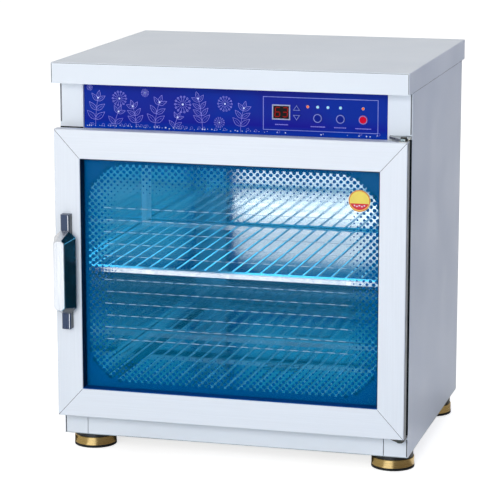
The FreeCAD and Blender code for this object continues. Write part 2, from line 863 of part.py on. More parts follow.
def wire_shelf(name, top):
    """Welded shelf: flat bars all round and wires from front to back."""
    bar = S.shelf_bar_depth
    bottom = f"({top} - {S.shelf_bar_height})"
    front = box(name + "_front", f"-{SHELF_HALF}", SHELF_HALF,
                SHELF_FRONT, f"{SHELF_FRONT} + {bar}", bottom, top)
    back = box(name + "_back", f"-{SHELF_HALF}", SHELF_HALF,
               f"{SHELF_BACK} - {bar}", SHELF_BACK, bottom, top)
    bars = [front, back]
    for side in (-1, 1):
        near = f"{side} * ({SHELF_HALF} - {S.shelf_side_width})"
        far = f"{side} * {SHELF_HALF}"
        low, high = (far, near) if side < 0 else (near, far)
        bars.append(box(f"{name}_side_{side + 1}", low, high, f"{SHELF_FRONT} + {bar}",
                        f"{SHELF_BACK} - {bar}", bottom, top))
    clear = 2 * (number(SHELF_HALF) - number(S.shelf_side_width))
    spaces = max(2, round(clear / number(S.wire_pitch)))
    half_count = (spaces - 2) / 2
    wires = []
    for i in range(spaces - 1):
        x = f"{i - half_count} * 2 * ({SHELF_HALF} - {S.shelf_side_width}) / {spaces}"
        wires.append(cylinder(
            f"{name}_wire_{i + 1}", S.wire_radius,
            f"{SHELF_BACK} - {SHELF_FRONT} - 2 * {bar} + 2 * {S.wire_weld}",
            x, f"{SHELF_FRONT} + {bar} - {S.wire_weld}", f"{top} - {S.wire_radius} - 1", "Y",
        ))
    return fuse(name, bars + wires)


for shelf, shelf_top in SHELVES.items():
    label(wire_shelf(shelf, shelf_top), shelf)


def shelf_rail(name, side, top):
    """Angle strip on the tank wall that carries one side of a shelf."""
    body = new_body(name)
    wall = f"{side} * {TANK_HALF}"
    leaf = f"{side} * ({TANK_HALF} - {S.bracket_leaf})"
    toe = f"{side} * ({TANK_HALF} - {S.bracket_leg})"
    seat = f"({top} - {S.shelf_bar_height} - {S.rest_gap})"
    sketch = sketch_on(body, "XZ", f"-({Y_TANK_BACK})")
    outline(sketch, [
        (wall, f"{seat} - {S.bracket_leg}"),
        (wall, seat),
        (toe, seat),
        (toe, f"{seat} - {S.bracket_leaf}"),
        (leaf, f"{seat} - {S.bracket_leaf}"),
        (leaf, f"{seat} - {S.bracket_leg}"),
    ])
    pad(body, sketch, f"{Y_TANK_BACK} - ({Y_BODY} + {S.rail_flange})")
    return body


for shelf, shelf_top in SHELVES.items():
    for rail_end, rail_side in (("left", -1), ("right", 1)):
        rail_name = f"{shelf}_rail_{rail_end}"
        label(shelf_rail(rail_name, rail_side, shelf_top), rail_name)

# ---------------------------------------------------------------- lamp and its gear

LAMP_Y = f"(({Y_TANK_FRONT} + {Y_TANK_BACK}) / 2)"
LAMP_Z = f"({Z_CEILING} - {S.lamp_drop})"
LAMP_HALF = f"({S.lamp_length} / 2)"

label(cylinder("uv_lamp_tube", S.lamp_radius, f"{S.lamp_length} - 2 * {S.lamp_cap_length}",
               f"-{LAMP_HALF} + {S.lamp_cap_length}", LAMP_Y, LAMP_Z, "X"), "uv_lamp_tube")


def lamp_cap(name, start):
    return cylinder(name, f"{S.lamp_radius} + {S.lamp_cap_wall}", S.lamp_cap_length,
                    start, LAMP_Y, LAMP_Z, "X")


group("uv_lamp_caps", [
    lamp_cap("left_lamp_cap", f"-{LAMP_HALF}"),
    lamp_cap("right_lamp_cap", f"{LAMP_HALF} - {S.lamp_cap_length}"),
])


def lamp_socket(name, side):
    """Holder that hangs from the ceiling and takes the lamp's end."""
    start = f"{side} * {LAMP_HALF}"
    end = f"{side} * ({LAMP_HALF} + {S.socket_length})"
    low, high = (end, start) if side < 0 else (start, end)
    return box(name, low, high, f"{LAMP_Y} - {S.socket_width} / 2", f"{LAMP_Y} + {S.socket_width} / 2",
               f"{LAMP_Z} - {S.socket_width} / 2", Z_CEILING)


group("lamp_sockets", [lamp_socket("left_socket", -1), lamp_socket("right_socket", 1)])


def lamp_reflector():
    """Shallow folded mirror between the lamp and the ceiling."""
    body = new_body("lamp_reflector")
    sketch = sketch_on(body, "YZ", f"-{LAMP_HALF}")
    half = f"({S.reflector_width} / 2)"
    flat = f"({S.reflector_width} / 5)"
    leaf = S.reflector_sheet
    outline(sketch, [
        (f"{LAMP_Y} - {flat}", Z_CEILING),
        (f"{LAMP_Y} - {half}", f"{Z_CEILING} - {S.reflector_depth}"),
        (f"{LAMP_Y} - {half}", f"{Z_CEILING} - {S.reflector_depth} - {leaf}"),
        (f"{LAMP_Y} - {flat}", f"{Z_CEILING} - {leaf}"),
        (f"{LAMP_Y} + {flat}", f"{Z_CEILING} - {leaf}"),
        (f"{LAMP_Y} + {half}", f"{Z_CEILING} - {S.reflector_depth} - {leaf}"),
        (f"{LAMP_Y} + {half}", f"{Z_CEILING} - {S.reflector_depth}"),
        (f"{LAMP_Y} + {flat}", Z_CEILING),
    ])
    pad(body, sketch, S.lamp_length)
    return body


label(lamp_reflector(), "lamp_reflector")
BALLAST_X = f"(({S.ballast_length} - {S.lamp_length}) / 2)"
label(box("lamp_ballast", f"{BALLAST_X} - {S.ballast_length} / 2", f"{BALLAST_X} + {S.ballast_length} / 2",
          f"{LAMP_Y} - {S.ballast_width} / 2", f"{LAMP_Y} + {S.ballast_width} / 2",
          Z_CEILING_TOP, f"{Z_CEILING_TOP} + {S.ballast_height}"), "lamp_ballast")
label(cylinder("lamp_starter", S.starter_radius, S.starter_height,
               f"{BALLAST_X} + {S.ballast_length}", LAMP_Y, Z_CEILING_TOP), "lamp_starter")

# ---------------------------------------------------------------- fan and heater

FAN_Z = f"{Z_PAN}"


def fan_frame():
    """Square fan housing with a round duct, a motor plate and three struts."""
    body = new_body("fan_frame")
    half = f"({S.fan_size} / 2)"
    sketch = sketch_on(body, "XY")
    rectangle(sketch, f"-{half}", half, f"-{half}", half)
    housing = pad(body, sketch, S.fan_depth)
    fillet_edges(body, housing, S.fan_corner, lambda edge: runs_along(edge, Vector(0, 0, 1)))
    duct = sketch_on(body, "XY")
    circle(duct, "0", "0", f"{half} - {S.fan_wall}")
    pocket(body, duct, S.fan_depth, along_normal=True)
    plate = sketch_on(body, "XY")
    circle(plate, "0", "0", S.fan_hub_radius)
    pad(body, plate, S.fan_wall)
    strut = sketch_on(body, "XY")
    rectangle(strut, f"{S.fan_hub_radius} - 2", f"{half} - 1", "-2", "2")
    arm = pad(body, strut, S.fan_wall)
    arms = body.newObject("PartDesign::PolarPattern", "fan_struts")
    arms.Originals = [arm]
    arms.Axis = (strut, ["N_Axis"])
    arms.Angle = 360
    arms.Occurrences = 4
    body.Tip = arms
    axle = sketch_on(body, "XY", S.fan_wall)
    circle(axle, "0", "0", S.fan_axle_radius)
    pad(body, axle, f"{S.fan_depth} - 3 * {S.fan_wall}")
    place(body, "0", FAN_Y, FAN_Z)
    return body


label(fan_frame(), "fan_frame")


def fan_rotor():
    """Hub cup with pitched blades that turns on the frame's axle."""
    hub_height = f"({S.fan_depth} - 3 * {S.fan_wall})"
    bottom = f"({FAN_Z} + {S.fan_wall} + 1)"
    hub = cylinder("rotor_hub", f"{S.fan_hub_radius} - 1", f"{hub_height}", "0", FAN_Y, bottom)
    tip = f"({S.fan_size} / 2 - {S.fan_wall} - {S.fan_tip_gap})"
    blades = []
    count = int(number(S.fan_blades))
    root = f"({S.fan_hub_radius} - 3)"
    for i in range(count):
        blade = doc.addObject("Part::Box", f"rotor_blade_{i + 1}")
        chord = f"({hub_height} * 0.95)"
        bind(blade, Length=f"{tip} * 0.97 - {root}", Width=S.blade_thickness, Height=chord)
        turn = FreeCAD.Rotation(Vector(0, 0, 1), 360 * i / count)
        lean = FreeCAD.Rotation(Vector(1, 0, 0), number(S.blade_pitch))
        offset = Vector(number(root), -number(S.blade_thickness) / 2, -number(chord) / 2)
        middle = Vector(0, number(FAN_Y), number(bottom) + number(hub_height) / 2)
        blade.Placement = FreeCAD.Placement(middle, turn.multiply(lean)).multiply(
            FreeCAD.Placement(offset, FreeCAD.Rotation()))
        blades.append(blade)
    solid = fuse("rotor_solid", [hub] + blades)
    bore = cylinder("rotor_bore", f"{S.fan_axle_radius} + {S.pin_clearance}",
                    f"{hub_height} + 2", "0", FAN_Y, f"{bottom} - 1")
    return cut("fan_rotor", solid, bore)


label(fan_rotor(), "fan_rotor")


HEATER_Z = f"({Z_FLOOR} - {S.liner_sheet} - {S.heater_lift})"


def heater_tube(name, side):
    """Straight quartz heating tube between the fan and the floor's slots."""
    return cylinder(name, S.heater_radius, S.heater_span, f"-{S.heater_span} / 2",
                    f"{FAN_Y} + {side} * {S.heater_pitch} / 2", HEATER_Z, "X")


group("heater_tubes", [heater_tube("front_heater_tube", -1), heater_tube("rear_heater_tube", 1)])


def heater_clip(name, side):
    """Folded strap that hangs from the floor and carries both tubes."""
    body = new_body(name)
    sketch = sketch_on(body, "YZ", f"{side} * {S.heater_span} * 0.4 - {S.clip_width} / 2")
    leaf = f"({S.clip_sheet} / 2)"
    reach = f"({S.heater_pitch} / 2 + {S.heater_radius})"
    seat = f"({HEATER_Z} - {S.heater_radius})"
    under = f"({Z_FLOOR} - {S.liner_sheet})"
    outline(sketch, [
        (f"{FAN_Y} - {leaf}", under),
        (f"{FAN_Y} - {leaf}", seat),
        (f"{FAN_Y} - {reach}", seat),
        (f"{FAN_Y} - {reach}", f"{seat} - {S.clip_sheet}"),
        (f"{FAN_Y} + {reach}", f"{seat} - {S.clip_sheet}"),
        (f"{FAN_Y} + {reach}", seat),
        (f"{FAN_Y} + {leaf}", seat),
        (f"{FAN_Y} + {leaf}", under),
    ])
    pad(body, sketch, S.clip_width)
    return body


group("heater_clips", [heater_clip("left_heater_clip", -1), heater_clip("right_heater_clip", 1)])

# ---------------------------------------------------------------- hinges

def hinge_bracket(name, level, tail_up):
    """Flat arm through the post's slot, with a tail welded behind the post."""
    body = new_body(name)
    sketch = sketch_on(body, "XY")
    inner_face = f"({Y_BODY} + {S.sheet})"
    back = f"({inner_face} + {S.bracket_sheet})"
    nose = S.bracket_nose
    outline(sketch, [
        (HINGE_RIGHT, back),
        (HINGE_LEFT, back),
        (HINGE_LEFT, f"{Y_BODY} - {nose}"),
        (f"{PIVOT_X} - {nose}", f"{PIVOT_Y} - {nose} / 2"),
        (f"{PIVOT_X} - {nose} / 2", f"{PIVOT_Y} - {nose}"),
        (f"{PIVOT_X} + {nose} / 2", f"{PIVOT_Y} - {nose}"),
        (HINGE_RIGHT, f"{PIVOT_Y} - {nose} / 3"),
    ])
    pad(body, sketch, S.bracket_sheet)
    tail = sketch_on(body, "XY", S.bracket_sheet if tail_up else f"-{S.bracket_tail}")
    rectangle(tail, HINGE_LEFT, HINGE_RIGHT, inner_face, back)
    pad(body, tail, S.bracket_tail)
    hole = sketch_on(body, "XY")
    circle(hole, PIVOT_X, PIVOT_Y, S.pin_radius)
    pocket(body, hole, S.bracket_sheet, along_normal=True)
    place(body, z=level)
    return body


for hinge_end, hinge_level in HINGE_PLATES.items():
    bracket_name = f"{hinge_end}_hinge_bracket"
    label(hinge_bracket(bracket_name, hinge_level, hinge_end == "top"), bracket_name)


def hinge_pin(name, level, upward):
    """Headed pin riveted into the bracket; the shank reaches into the door's bush."""
    body = new_body(name)
    sketch = sketch_on(body, "XZ")
    reach = f"({S.bracket_sheet} + {S.door_gap} + {S.pin_depth})"
    outline(sketch, [
        ("0", f"-{S.pin_head_height}"),
        (f"{S.pin_head_radius} - 0.8", f"-{S.pin_head_height}"),
        (S.pin_head_radius, f"-{S.pin_head_height} + 0.8"),
        (S.pin_head_radius, "0"),
        (S.pin_radius, "0"),
        (S.pin_radius, f"{reach} - 1"),
        (f"{S.pin_radius} - 1", reach),
        ("0", reach),
    ])
    revolve(body, sketch)
    if upward:
        return place(body, PIVOT_X, PIVOT_Y, level)
    body.Placement = FreeCAD.Placement(Vector(), FreeCAD.Rotation(Vector(1, 0, 0), 180))
    return place(body, PIVOT_X, PIVOT_Y, f"{level} + {S.bracket_sheet}")


group("hinge_pins", [
    hinge_pin("top_hinge_pin", HINGE_PLATES["top"], False),
    hinge_pin("bottom_hinge_pin", HINGE_PLATES["bottom"], True),
])

BUSH_RADIUS = f"({S.pin_radius} + {S.pin_clearance} + {S.bush_wall})"


def hinge_bush(name, level, upward):
    """Flanged plastic bush pressed into the door's edge."""
    body = new_body(name)
    sketch = sketch_on(body, "XZ")
    bore = f"({S.pin_radius} + {S.pin_clearance})"
    depth = f"({S.pin_depth} + 1.5)"
    outline(sketch, [
        (bore, f"-{S.bush_flange}"),
        (S.bush_flange_radius, f"-{S.bush_flange}"),
        (S.bush_flange_radius, "0"),
        (BUSH_RADIUS, "0"),
        (BUSH_RADIUS, depth),
        (bore, depth),
    ])
    revolve(body, sketch)
    if not upward:
        body.Placement = FreeCAD.Placement(Vector(), FreeCAD.Rotation(Vector(1, 0, 0), 180))
    return place(body, PIVOT_X, PIVOT_Y, level)


group("hinge_bushes", [
    hinge_bush("top_hinge_bush", Z_DOOR_TOP, False),
    hinge_bush("bottom_hinge_bush", Z_DOOR, True),
])

# ---------------------------------------------------------------- door

def channel_section(sketch, outer, inner, front, back):
    """Open-backed channel: two side walls, a front wall and two lips."""
    wall = S.frame_wall
    lip = S.frame_lip
    grow = "1" if number(inner) > number(outer) else "-1"
    outline(sketch, [
        (outer, front),
        (inner, front),
        (inner, back),
        (f"{inner} - {grow} * {lip}", back),
        (f"{inner} - {grow} * {lip}", f"{back} - {wall}"),
        (f"{inner} - {grow} * {wall}", f"{back} - {wall}"),
        (f"{inner} - {grow} * {wall}", f"{front} + {wall}"),
        (f"{outer} + {grow} * {wall}", f"{front} + {wall}"),
        (f"{outer} + {grow} * {wall}", f"{back} - {wall}"),
        (f"{outer} + {grow} * {lip}", f"{back} - {wall}"),
        (f"{outer} + {grow} * {lip}", back),
        (outer, back),
    ])


def mitre_cut(body, points):
    """Remove a corner of a frame member, seen from the front."""
    sketch = sketch_on(body, "XZ", f"-({Y_GLASS} + 1)")
    outline(sketch, points)
    pocket(body, sketch, f"{S.frame_depth} + 2", along_normal=True)


def round_front_edges(body, base, axis):
    front = number(Y_DOOR)

    def front_edge(edge):
        return runs_along(edge, axis) and abs(edge.CenterOfMass.y - front) < 1e-3

    fillet_edges(body, base, S.frame_radius, front_edge)


def stile(name, side):
    """Upright frame member, mitred at both ends."""
    body = new_body(name)
    outer = f"{side} * {DOOR_HALF}"
    inner = f"{side} * {WINDOW_HALF}"
    sketch = sketch_on(body, "XY", Z_DOOR)
    channel_section(sketch, outer, inner, Y_DOOR, Y_GLASS)
    bar = pad(body, sketch, f"{Z_DOOR_TOP} - {Z_DOOR}")
    round_front_edges(body, bar, Vector(0, 0, 1))
    past = f"{side} * ({WINDOW_HALF} - 5)"
    slope = f"({S.rail_width} / {S.stile_width})"
    gap = f"({S.mitre_gap} / 2)"
    for corner, turn in ((Z_DOOR, 1), (Z_DOOR_TOP, -1)):
        beyond = f"{corner} - {turn} * 5"
        mitre_cut(body, [
            (outer, beyond),
            (outer, f"{corner} + {turn} * {gap}"),
            (past, f"{corner} + {turn} * ({gap} + ({S.stile_width} + 5) * {slope})"),
            (past, beyond),
        ])
    return body


def cross_rail(name, corner, turn):
    """Level frame member; turn points from the door's edge to the window."""
    body = new_body(name)
    sketch = sketch_on(body, "YZ", f"-{DOOR_HALF}")
    inner = f"({corner} + {turn} * {S.rail_width})"
    wall = S.frame_wall
    lip = S.frame_lip
    outline(sketch, [
        (Y_DOOR, corner),
        (Y_DOOR, inner),
        (Y_GLASS, inner),
        (Y_GLASS, f"{inner} - {turn} * {lip}"),
        (f"{Y_GLASS} - {wall}", f"{inner} - {turn} * {lip}"),
        (f"{Y_GLASS} - {wall}", f"{inner} - {turn} * {wall}"),
        (f"{Y_DOOR} + {wall}", f"{inner} - {turn} * {wall}"),
        (f"{Y_DOOR} + {wall}", f"{corner} + {turn} * {wall}"),
        (f"{Y_GLASS} - {wall}", f"{corner} + {turn} * {wall}"),
        (f"{Y_GLASS} - {wall}", f"{corner} + {turn} * {lip}"),
        (Y_GLASS, f"{corner} + {turn} * {lip}"),
        (Y_GLASS, corner),
    ])
    bar = pad(body, sketch, f"2 * {DOOR_HALF}")
    round_front_edges(body, bar, Vector(1, 0, 0))
    gap = f"({S.mitre_gap} / 2)"
    slope = f"({S.stile_width} / {S.rail_width})"
    past = f"{corner} + {turn} * ({S.rail_width} + 5)"
    for side in (-1, 1):
        mitre_cut(body, [
            (f"{side} * ({DOOR_HALF} + 5)", corner),
            (f"{side} * ({DOOR_HALF} - {gap})", corner),
            (f"{side} * ({DOOR_HALF} - {gap} - ({S.rail_width} + 5) * {slope})", past),
            (f"{side} * ({DOOR_HALF} + 5)", past),
        ])
    return body


def with_holes(name, base, holes):
    return label(cut(name, base, fuse(name + "_holes", holes)), name)


SCREW_LEVELS = [
    f"({HANDLE_Z} + {turn} * ({S.handle_length} / 2 - {S.handle_screw_inset}))" for turn in (-1, 1)
]
with_holes("door_stile_left", stile("left_stile_channel", -1), [
    cylinder(f"handle_hole_{i}", f"{S.handle_screw_radius} + {S.hole_clearance}",
             f"2 * {S.frame_wall}", HANDLE_X, f"{Y_DOOR} - {S.frame_wall} / 2", z, "Y")
    for i, z in enumerate(SCREW_LEVELS, start=1)
])
label(stile("door_stile_right", 1), "door_stile_right")


def bush_hole(name, start):
    return cylinder(name, BUSH_RADIUS, f"{S.frame_wall} + 2", PIVOT_X, PIVOT_Y, start)


label(cut("door_rail_top", cross_rail("top_rail_channel", Z_DOOR_TOP, -1),
          bush_hole("top_bush_hole", f"{Z_DOOR_TOP} - {S.frame_wall} - 1")), "door_rail_top")
label(cut("door_rail_bottom", cross_rail("bottom_rail_channel", Z_DOOR, 1),
          bush_hole("bottom_bush_hole", f"{Z_DOOR} - 1")), "door_rail_bottom")

GLASS_HALF = f"({WINDOW_HALF} + {S.glass_overlap})"
GLASS_BOTTOM = f"({Z_WINDOW} - {S.glass_overlap})"
GLASS_TOP = f"({Z_WINDOW_TOP} + {S.glass_overlap})"
label(box("door_glass", f"-{GLASS_HALF}", GLASS_HALF, Y_GLASS, f"{Y_GLASS} + {S.glass_thickness}",
          GLASS_BOTTOM, GLASS_TOP), "door_glass")


def glazing_bead():
    """Soft strip round the window, from the pane to just behind the frame's face."""
    body = new_body("glazing_bead")
    start = f"({Y_DOOR} + {S.bead_setback})"
    sketch = sketch_on(body, "XZ", f"-{Y_GLASS}")
    rectangle(sketch, f"-{WINDOW_HALF}", WINDOW_HALF, Z_WINDOW, Z_WINDOW_TOP)
    thickness = S.bead_thickness
    rectangle(sketch, f"-({WINDOW_HALF} - {thickness})", f"{WINDOW_HALF} - {thickness}",
              f"{Z_WINDOW} + {thickness}", f"{Z_WINDOW_TOP} - {thickness}")
    strip = pad(body, sketch, f"{Y_GLASS} - {start}")
    lip = number(start)
    side = number(WINDOW_HALF) - number(thickness)
    levels = (number(Z_WINDOW) + number(thickness), number(Z_WINDOW_TOP) - number(thickness))

    def lip_edge(edge):
        centre = edge.CenterOfMass
        inner = abs(abs(centre.x) - side) < 1e-3 or min(abs(centre.z - z) for z in levels) < 1e-3
        return inner and abs(centre.y - lip) < 1e-3

    fillet_edges(body, strip, S.bead_radius, lip_edge)
    return body


label(glazing_bead(), "glazing_bead")


def door_liner():
    """Moulded ring that closes the channels' backs and clamps the glass."""
    body = new_body("door_liner")
    sketch = sketch_on(body, "XZ", f"-{Y_GASKET}")
    inset = S.liner_inset
    rectangle(sketch, f"-({DOOR_HALF} - {inset})", f"{DOOR_HALF} - {inset}",
              f"{Z_DOOR} + {inset}", f"{Z_DOOR_TOP} - {inset}")
    rectangle(sketch, f"-({WINDOW_HALF} + 1)", f"{WINDOW_HALF} + 1",
              f"{Z_WINDOW} - 1", f"{Z_WINDOW_TOP} + 1")
    pad(body, sketch, S.liner_depth)
    rebate = sketch_on(body, "XZ", f"-{Y_GLASS}")
    clear = S.glass_clearance
    rectangle(rebate, f"-({GLASS_HALF} + {clear})", f"{GLASS_HALF} + {clear}",
              f"{GLASS_BOTTOM} - {clear}", f"{GLASS_TOP} + {clear}")
    pocket(body, rebate, S.glass_thickness)
    return body


label(door_liner(), "door_liner")


def door_gasket():
    """Soft magnetic seal that presses on the posts, header and sill."""
    body = new_body("door_gasket")
    depth = f"({Y_BODY} - {S.seal_gap} - {Y_GASKET})"
    outer = S.gasket_inset
    inner = f"({S.gasket_inset} + {S.gasket_width})"
    sketch = sketch_on(body, "XZ", f"-({Y_GASKET} + {depth})")
    for inset in (outer, inner):
        rectangle(sketch, f"-({DOOR_HALF} - {inset})", f"{DOOR_HALF} - {inset}",
                  f"{Z_DOOR} + {inset}", f"{Z_DOOR_TOP} - {inset}")
    ring = pad(body, sketch, depth)
    sealing = number(Y_GASKET) + number(depth)

    def sealing_edge(edge):
        return abs(edge.CenterOfMass.y - sealing) < 1e-3 and edge.BoundBox.YLength < 1e-3

    fillet_edges(body, ring, S.gasket_radius, sealing_edge)
    return body


label(door_gasket(), "door_gasket")


def corner_key(name, side, corner, turn):
    """Angle plate inside a mitred corner that ties the two members."""
    body = new_body(name)
    wall = S.frame_wall
    inset = f"({wall} + {S.frame_radius})"
    x_outer = f"{side} * ({DOOR_HALF} - {inset})"
    x_inner = f"{side} * ({DOOR_HALF} - {inset} - {S.key_width})"
    x_end = f"{side} * ({DOOR_HALF} - {inset} - {S.key_leg})"
    z_outer = f"{corner} + {turn} * {inset}"
    z_inner = f"{corner} + {turn} * ({inset} + {S.key_width})"
    z_end = f"{corner} + {turn} * ({inset} + {S.key_leg})"
    front = f"({Y_DOOR} + {wall})"
    sketch = sketch_on(body, "XZ", f"-({front} + {S.key_thickness})")
    outline(sketch, [
        (x_outer, z_outer), (x_end, z_outer), (x_end, z_inner),
        (x_inner, z_inner), (x_inner, z_end), (x_outer, z_end),
    ])
    pad(body, sketch, S.key_thickness)
    return body


group("corner_keys", [
    corner_key(f"corner_key_{i}", side, corner, turn)
    for i, (side, corner, turn) in enumerate([
        (-1, Z_DOOR, 1), (1, Z_DOOR, 1), (-1, Z_DOOR_TOP, -1), (1, Z_DOOR_TOP, -1),
    ], start=1)
])

# ---------------------------------------------------------------- handle

def handle_base():
    """Narrow bar on the stile with chamfered long edges and two screw holes."""
    body = new_body("handle_base_bar")
    half = f"({S.handle_base_width} / 2)"
    cant = S.handle_base_chamfer
    front = f"({Y_DOOR} - {S.handle_base_depth})"
    sketch = sketch_on(body, "XY", f"{HANDLE_Z} - {S.handle_length} / 2")
    outline(sketch, [
        (f"{HANDLE_X} - {half}", Y_DOOR),
        (f"{HANDLE_X} - {half}", f"{front} + {cant}"),
        (f"{HANDLE_X} - {half} + {cant}", front),
        (f"{HANDLE_X} + {half} - {cant}", front),
        (f"{HANDLE_X} + {half}", f"{front} + {cant}"),
        (f"{HANDLE_X} + {half}", Y_DOOR),
    ])
    pad(body, sketch, S.handle_length)
    return body


SCREW_BITE = f"({S.handle_screw_length} - {S.frame_wall})"
label(cut("handle_base", handle_base(), fuse("handle_base_holes", [
    cylinder(f"base_hole_{i}", f"{S.handle_screw_radius} + {S.hole_clearance}",
             f"{SCREW_BITE} + 1.5", HANDLE_X, f"{Y_DOOR} - {SCREW_BITE} - 0.5", z, "Y")
    for i, z in enumerate(SCREW_LEVELS, start=1)
])), "handle_base")


def handle_grip():
    """Faceted grip: a long eight-sided foot lofted to a slimmer front face."""
    body = new_body("handle_grip")

    def boat(sketch, width, point, length, taper):
        half = f"({width} / 2)"
        tip = f"({point} / 2)"
        end = f"({length} / 2)"
        quarter = [(half, f"({end} - {taper})"), (tip, end)]
        corners = [(f"{u}", f"{v}") for u, v in quarter]
        corners += [(f"-{u}", f"{v}") for u, v in reversed(quarter)]
        corners += [(f"-{u}", f"-{v}") for u, v in quarter]
        corners += [(f"{u}", f"-{v}") for u, v in reversed(quarter)]
        outline(sketch, [(f"{HANDLE_X} + {u}", f"{HANDLE_Z} + {v}") for u, v in corners])

    base = sketch_on(body, "XZ", f"-({Y_DOOR} - {S.handle_base_depth})")
    boat(base, S.grip_base_width, S.grip_point_width, S.grip_length, S.grip_taper)
    front = sketch_on(body, "XZ", f"-({Y_DOOR} - {S.handle_proud})")
    boat(front, S.grip_front_width, S.grip_front_point, S.grip_front_length, S.grip_front_taper)
    loft = body.newObject("PartDesign::AdditiveLoft", "grip_loft")
    loft.Profile = base
    loft.Sections = [front]
    loft.Ruled = True
    doc.recompute()
    bevel = body.newObject("PartDesign::Chamfer", "grip_bevel")
    bevel.Base = (loft, [f"Edge{i}" for i in range(1, len(loft.Shape.Edges) + 1)])
    bind(bevel, Size=S.grip_bevel)
    return body


label(handle_grip(), "handle_grip")


def handle_screw(name, z):
    head = cylinder(name + "_head", S.screw_head_radius, S.screw_head_height, HANDLE_X,
                    f"{Y_DOOR} + {S.frame_wall}", z, "Y")
    shank = cylinder(name + "_shank", S.handle_screw_radius, f"{SCREW_BITE} + {S.frame_wall}",
                     HANDLE_X, f"{Y_DOOR} - {SCREW_BITE}", z, "Y")
    return fuse(name, [head, shank])


group("handle_screws", [
    handle_screw(f"handle_screw_{i}", z) for i, z in enumerate(SCREW_LEVELS, start=1)
])

# ---------------------------------------------------------------- rear fittings

def cord_gland():
    """Flanged rubber gland in the back panel's hole."""
    body = new_body("cord_gland")
    sketch = sketch_on(body, "XY")
    outline(sketch, [
        (S.gland_bore, f"-({S.gland_flange} + {S.sheet})"),
        (S.gland_flange_radius, f"-({S.gland_flange} + {S.sheet})"),
        (S.gland_flange_radius, f"-{S.sheet}"),
        (S.gland_radius, f"-{S.sheet}"),
        (S.gland_radius, "0"),
        (S.gland_flange_radius, "0"),
        (S.gland_flange_radius, S.gland_flange),
        (f"{S.gland_radius} - 1", S.gland_proud),
        (S.gland_bore, S.gland_proud),
    ])
    revolve(body, sketch)
    return place(body, GLAND_X, Y_REAR, GLAND_Z)


label(cord_gland(), "cord_gland")


def case_screw(name, x, z):
    """Domed head on the back panel, over the side's rear flange."""
    head = doc.addObject("Part::Cone", name)
    bind(head, Radius1=S.case_screw_radius, Radius2=S.case_screw_crown, Height=S.case_screw_head)
    head.Placement = FreeCAD.Placement(Vector(), AXIS_TURN["Y"])
    return place(head, x, Y_REAR, z)


CASE_SCREW_LEVELS = [
    f"{Z_PAN} + {S.case_screw_inset} + {i} * ({Z_APRON} - {Z_PAN} - 2 * {S.case_screw_inset}) / 3"
    for i in range(4)
]
group("case_screws", [
    case_screw(f"case_screw_{side + 1}_{i}", f"{side} * ({BODY_HALF} - {S.case_screw_inset})", z)
    for side in (-1, 1)
    for i, z in enumerate(CASE_SCREW_LEVELS)
])

# ---------------------------------------------------------------- feet

FOOT_NAMES = ["front_left", "front_right", "rear_left", "rear_right"]


def turned(name, x, y, points):
    """Round part turned about a vertical axis through the foot's centre."""
    body = new_body(name)
    sketch = sketch_on(body, "XZ")
    outline(sketch, points)
    revolve(body, sketch)
    return place(body, x, y)


def foot_ring(name, x, y):
    """Brass-plated band round the foot."""
    return turned(name, x, y, [
        (S.foot_core_radius, S.ring_bottom),
        (f"{S.foot_radius} - 0.6", S.ring_bottom),
        (S.foot_radius, f"{S.ring_bottom} + 0.6"),
        (S.foot_radius, f"{S.ring_top} - 0.6"),
        (f"{S.foot_radius} - 0.6", S.ring_top),
        (S.foot_core_radius, S.ring_top),
    ])


def foot_core(name, x, y):
    """Black moulded block that carries the band and the bolt."""
    bore = f"({S.foot_bolt_radius} + {S.hole_clearance})"
    recess = f"({S.foot_bolt_head_radius} + 0.5)"
    seat = f"({S.pad_height} + {S.foot_bolt_head})"
    return turned(name, x, y, [
        (bore, seat),
        (recess, seat),
        (recess, S.pad_height),
        (S.foot_core_radius, S.pad_height),
        (S.foot_core_radius, f"{S.foot_height} - 1.5"),
        (f"{S.foot_core_radius} - 1.5", S.foot_height),
        (bore, S.foot_height),
    ])


def foot_pad(name, x, y):
    """Rubber sole with a bevelled rim."""
    return turned(name, x, y, [
        (S.foot_bolt_head_radius, "0"),
        (f"{S.foot_core_radius} - {S.pad_bevel}", "0"),
        (S.foot_core_radius, f"{S.pad_bevel} * 0.7"),
        (S.foot_core_radius, S.pad_height),
        (S.foot_bolt_head_radius, S.pad_height),
    ])


def hexagon(name, x, y, z):
    """Hexagonal bolt head or nut."""
    solid = doc.addObject("Part::Prism", name)
    solid.Polygon = 6
    bind(solid, Circumradius=S.foot_bolt_head_radius, Height=S.foot_bolt_head)
    return place(solid, x, y, z)


def foot_bolt(name, x, y):
    shank = cylinder(name + "_shank", S.foot_bolt_radius,
                     f"{S.foot_height} - {S.pad_height} + {S.sheet} + {S.foot_bolt_head} + 2",
                     x, y, S.pad_height)
    head = hexagon(name + "_head", x, y, S.pad_height)
    nut = hexagon(name + "_nut", x, y, Z_PAN)
    return fuse(name, [shank, head, nut])


for foot_part, make in (("foot_rings", foot_ring), ("foot_cores", foot_core),
                        ("foot_pads", foot_pad), ("foot_bolts", foot_bolt)):
    group(foot_part, [
        make(f"{foot_part[:-1]}_{foot_name}", x, y)
        for foot_name, (x, y) in zip(FOOT_NAMES, FOOT_CENTRES)
    ])

# ---------------------------------------------------------------- check and write

doc.recompute()
for obj in doc.Objects:
    if "Invalid" in obj.State or "Error" in obj.State:
        raise ValueError(f"{obj.Name} failed: {obj.State}")

os.makedirs("parts", exist_ok=True)
for node in nodes:
    if node.Shape.isNull() or not node.Shape.isValid():
        raise ValueError(f"{node.Label} has no valid shape")
    node.Shape.exportStep(os.path.join("parts", node.Label + ".step"))
print(len(nodes), "nodes written")
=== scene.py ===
import json
import math
import random

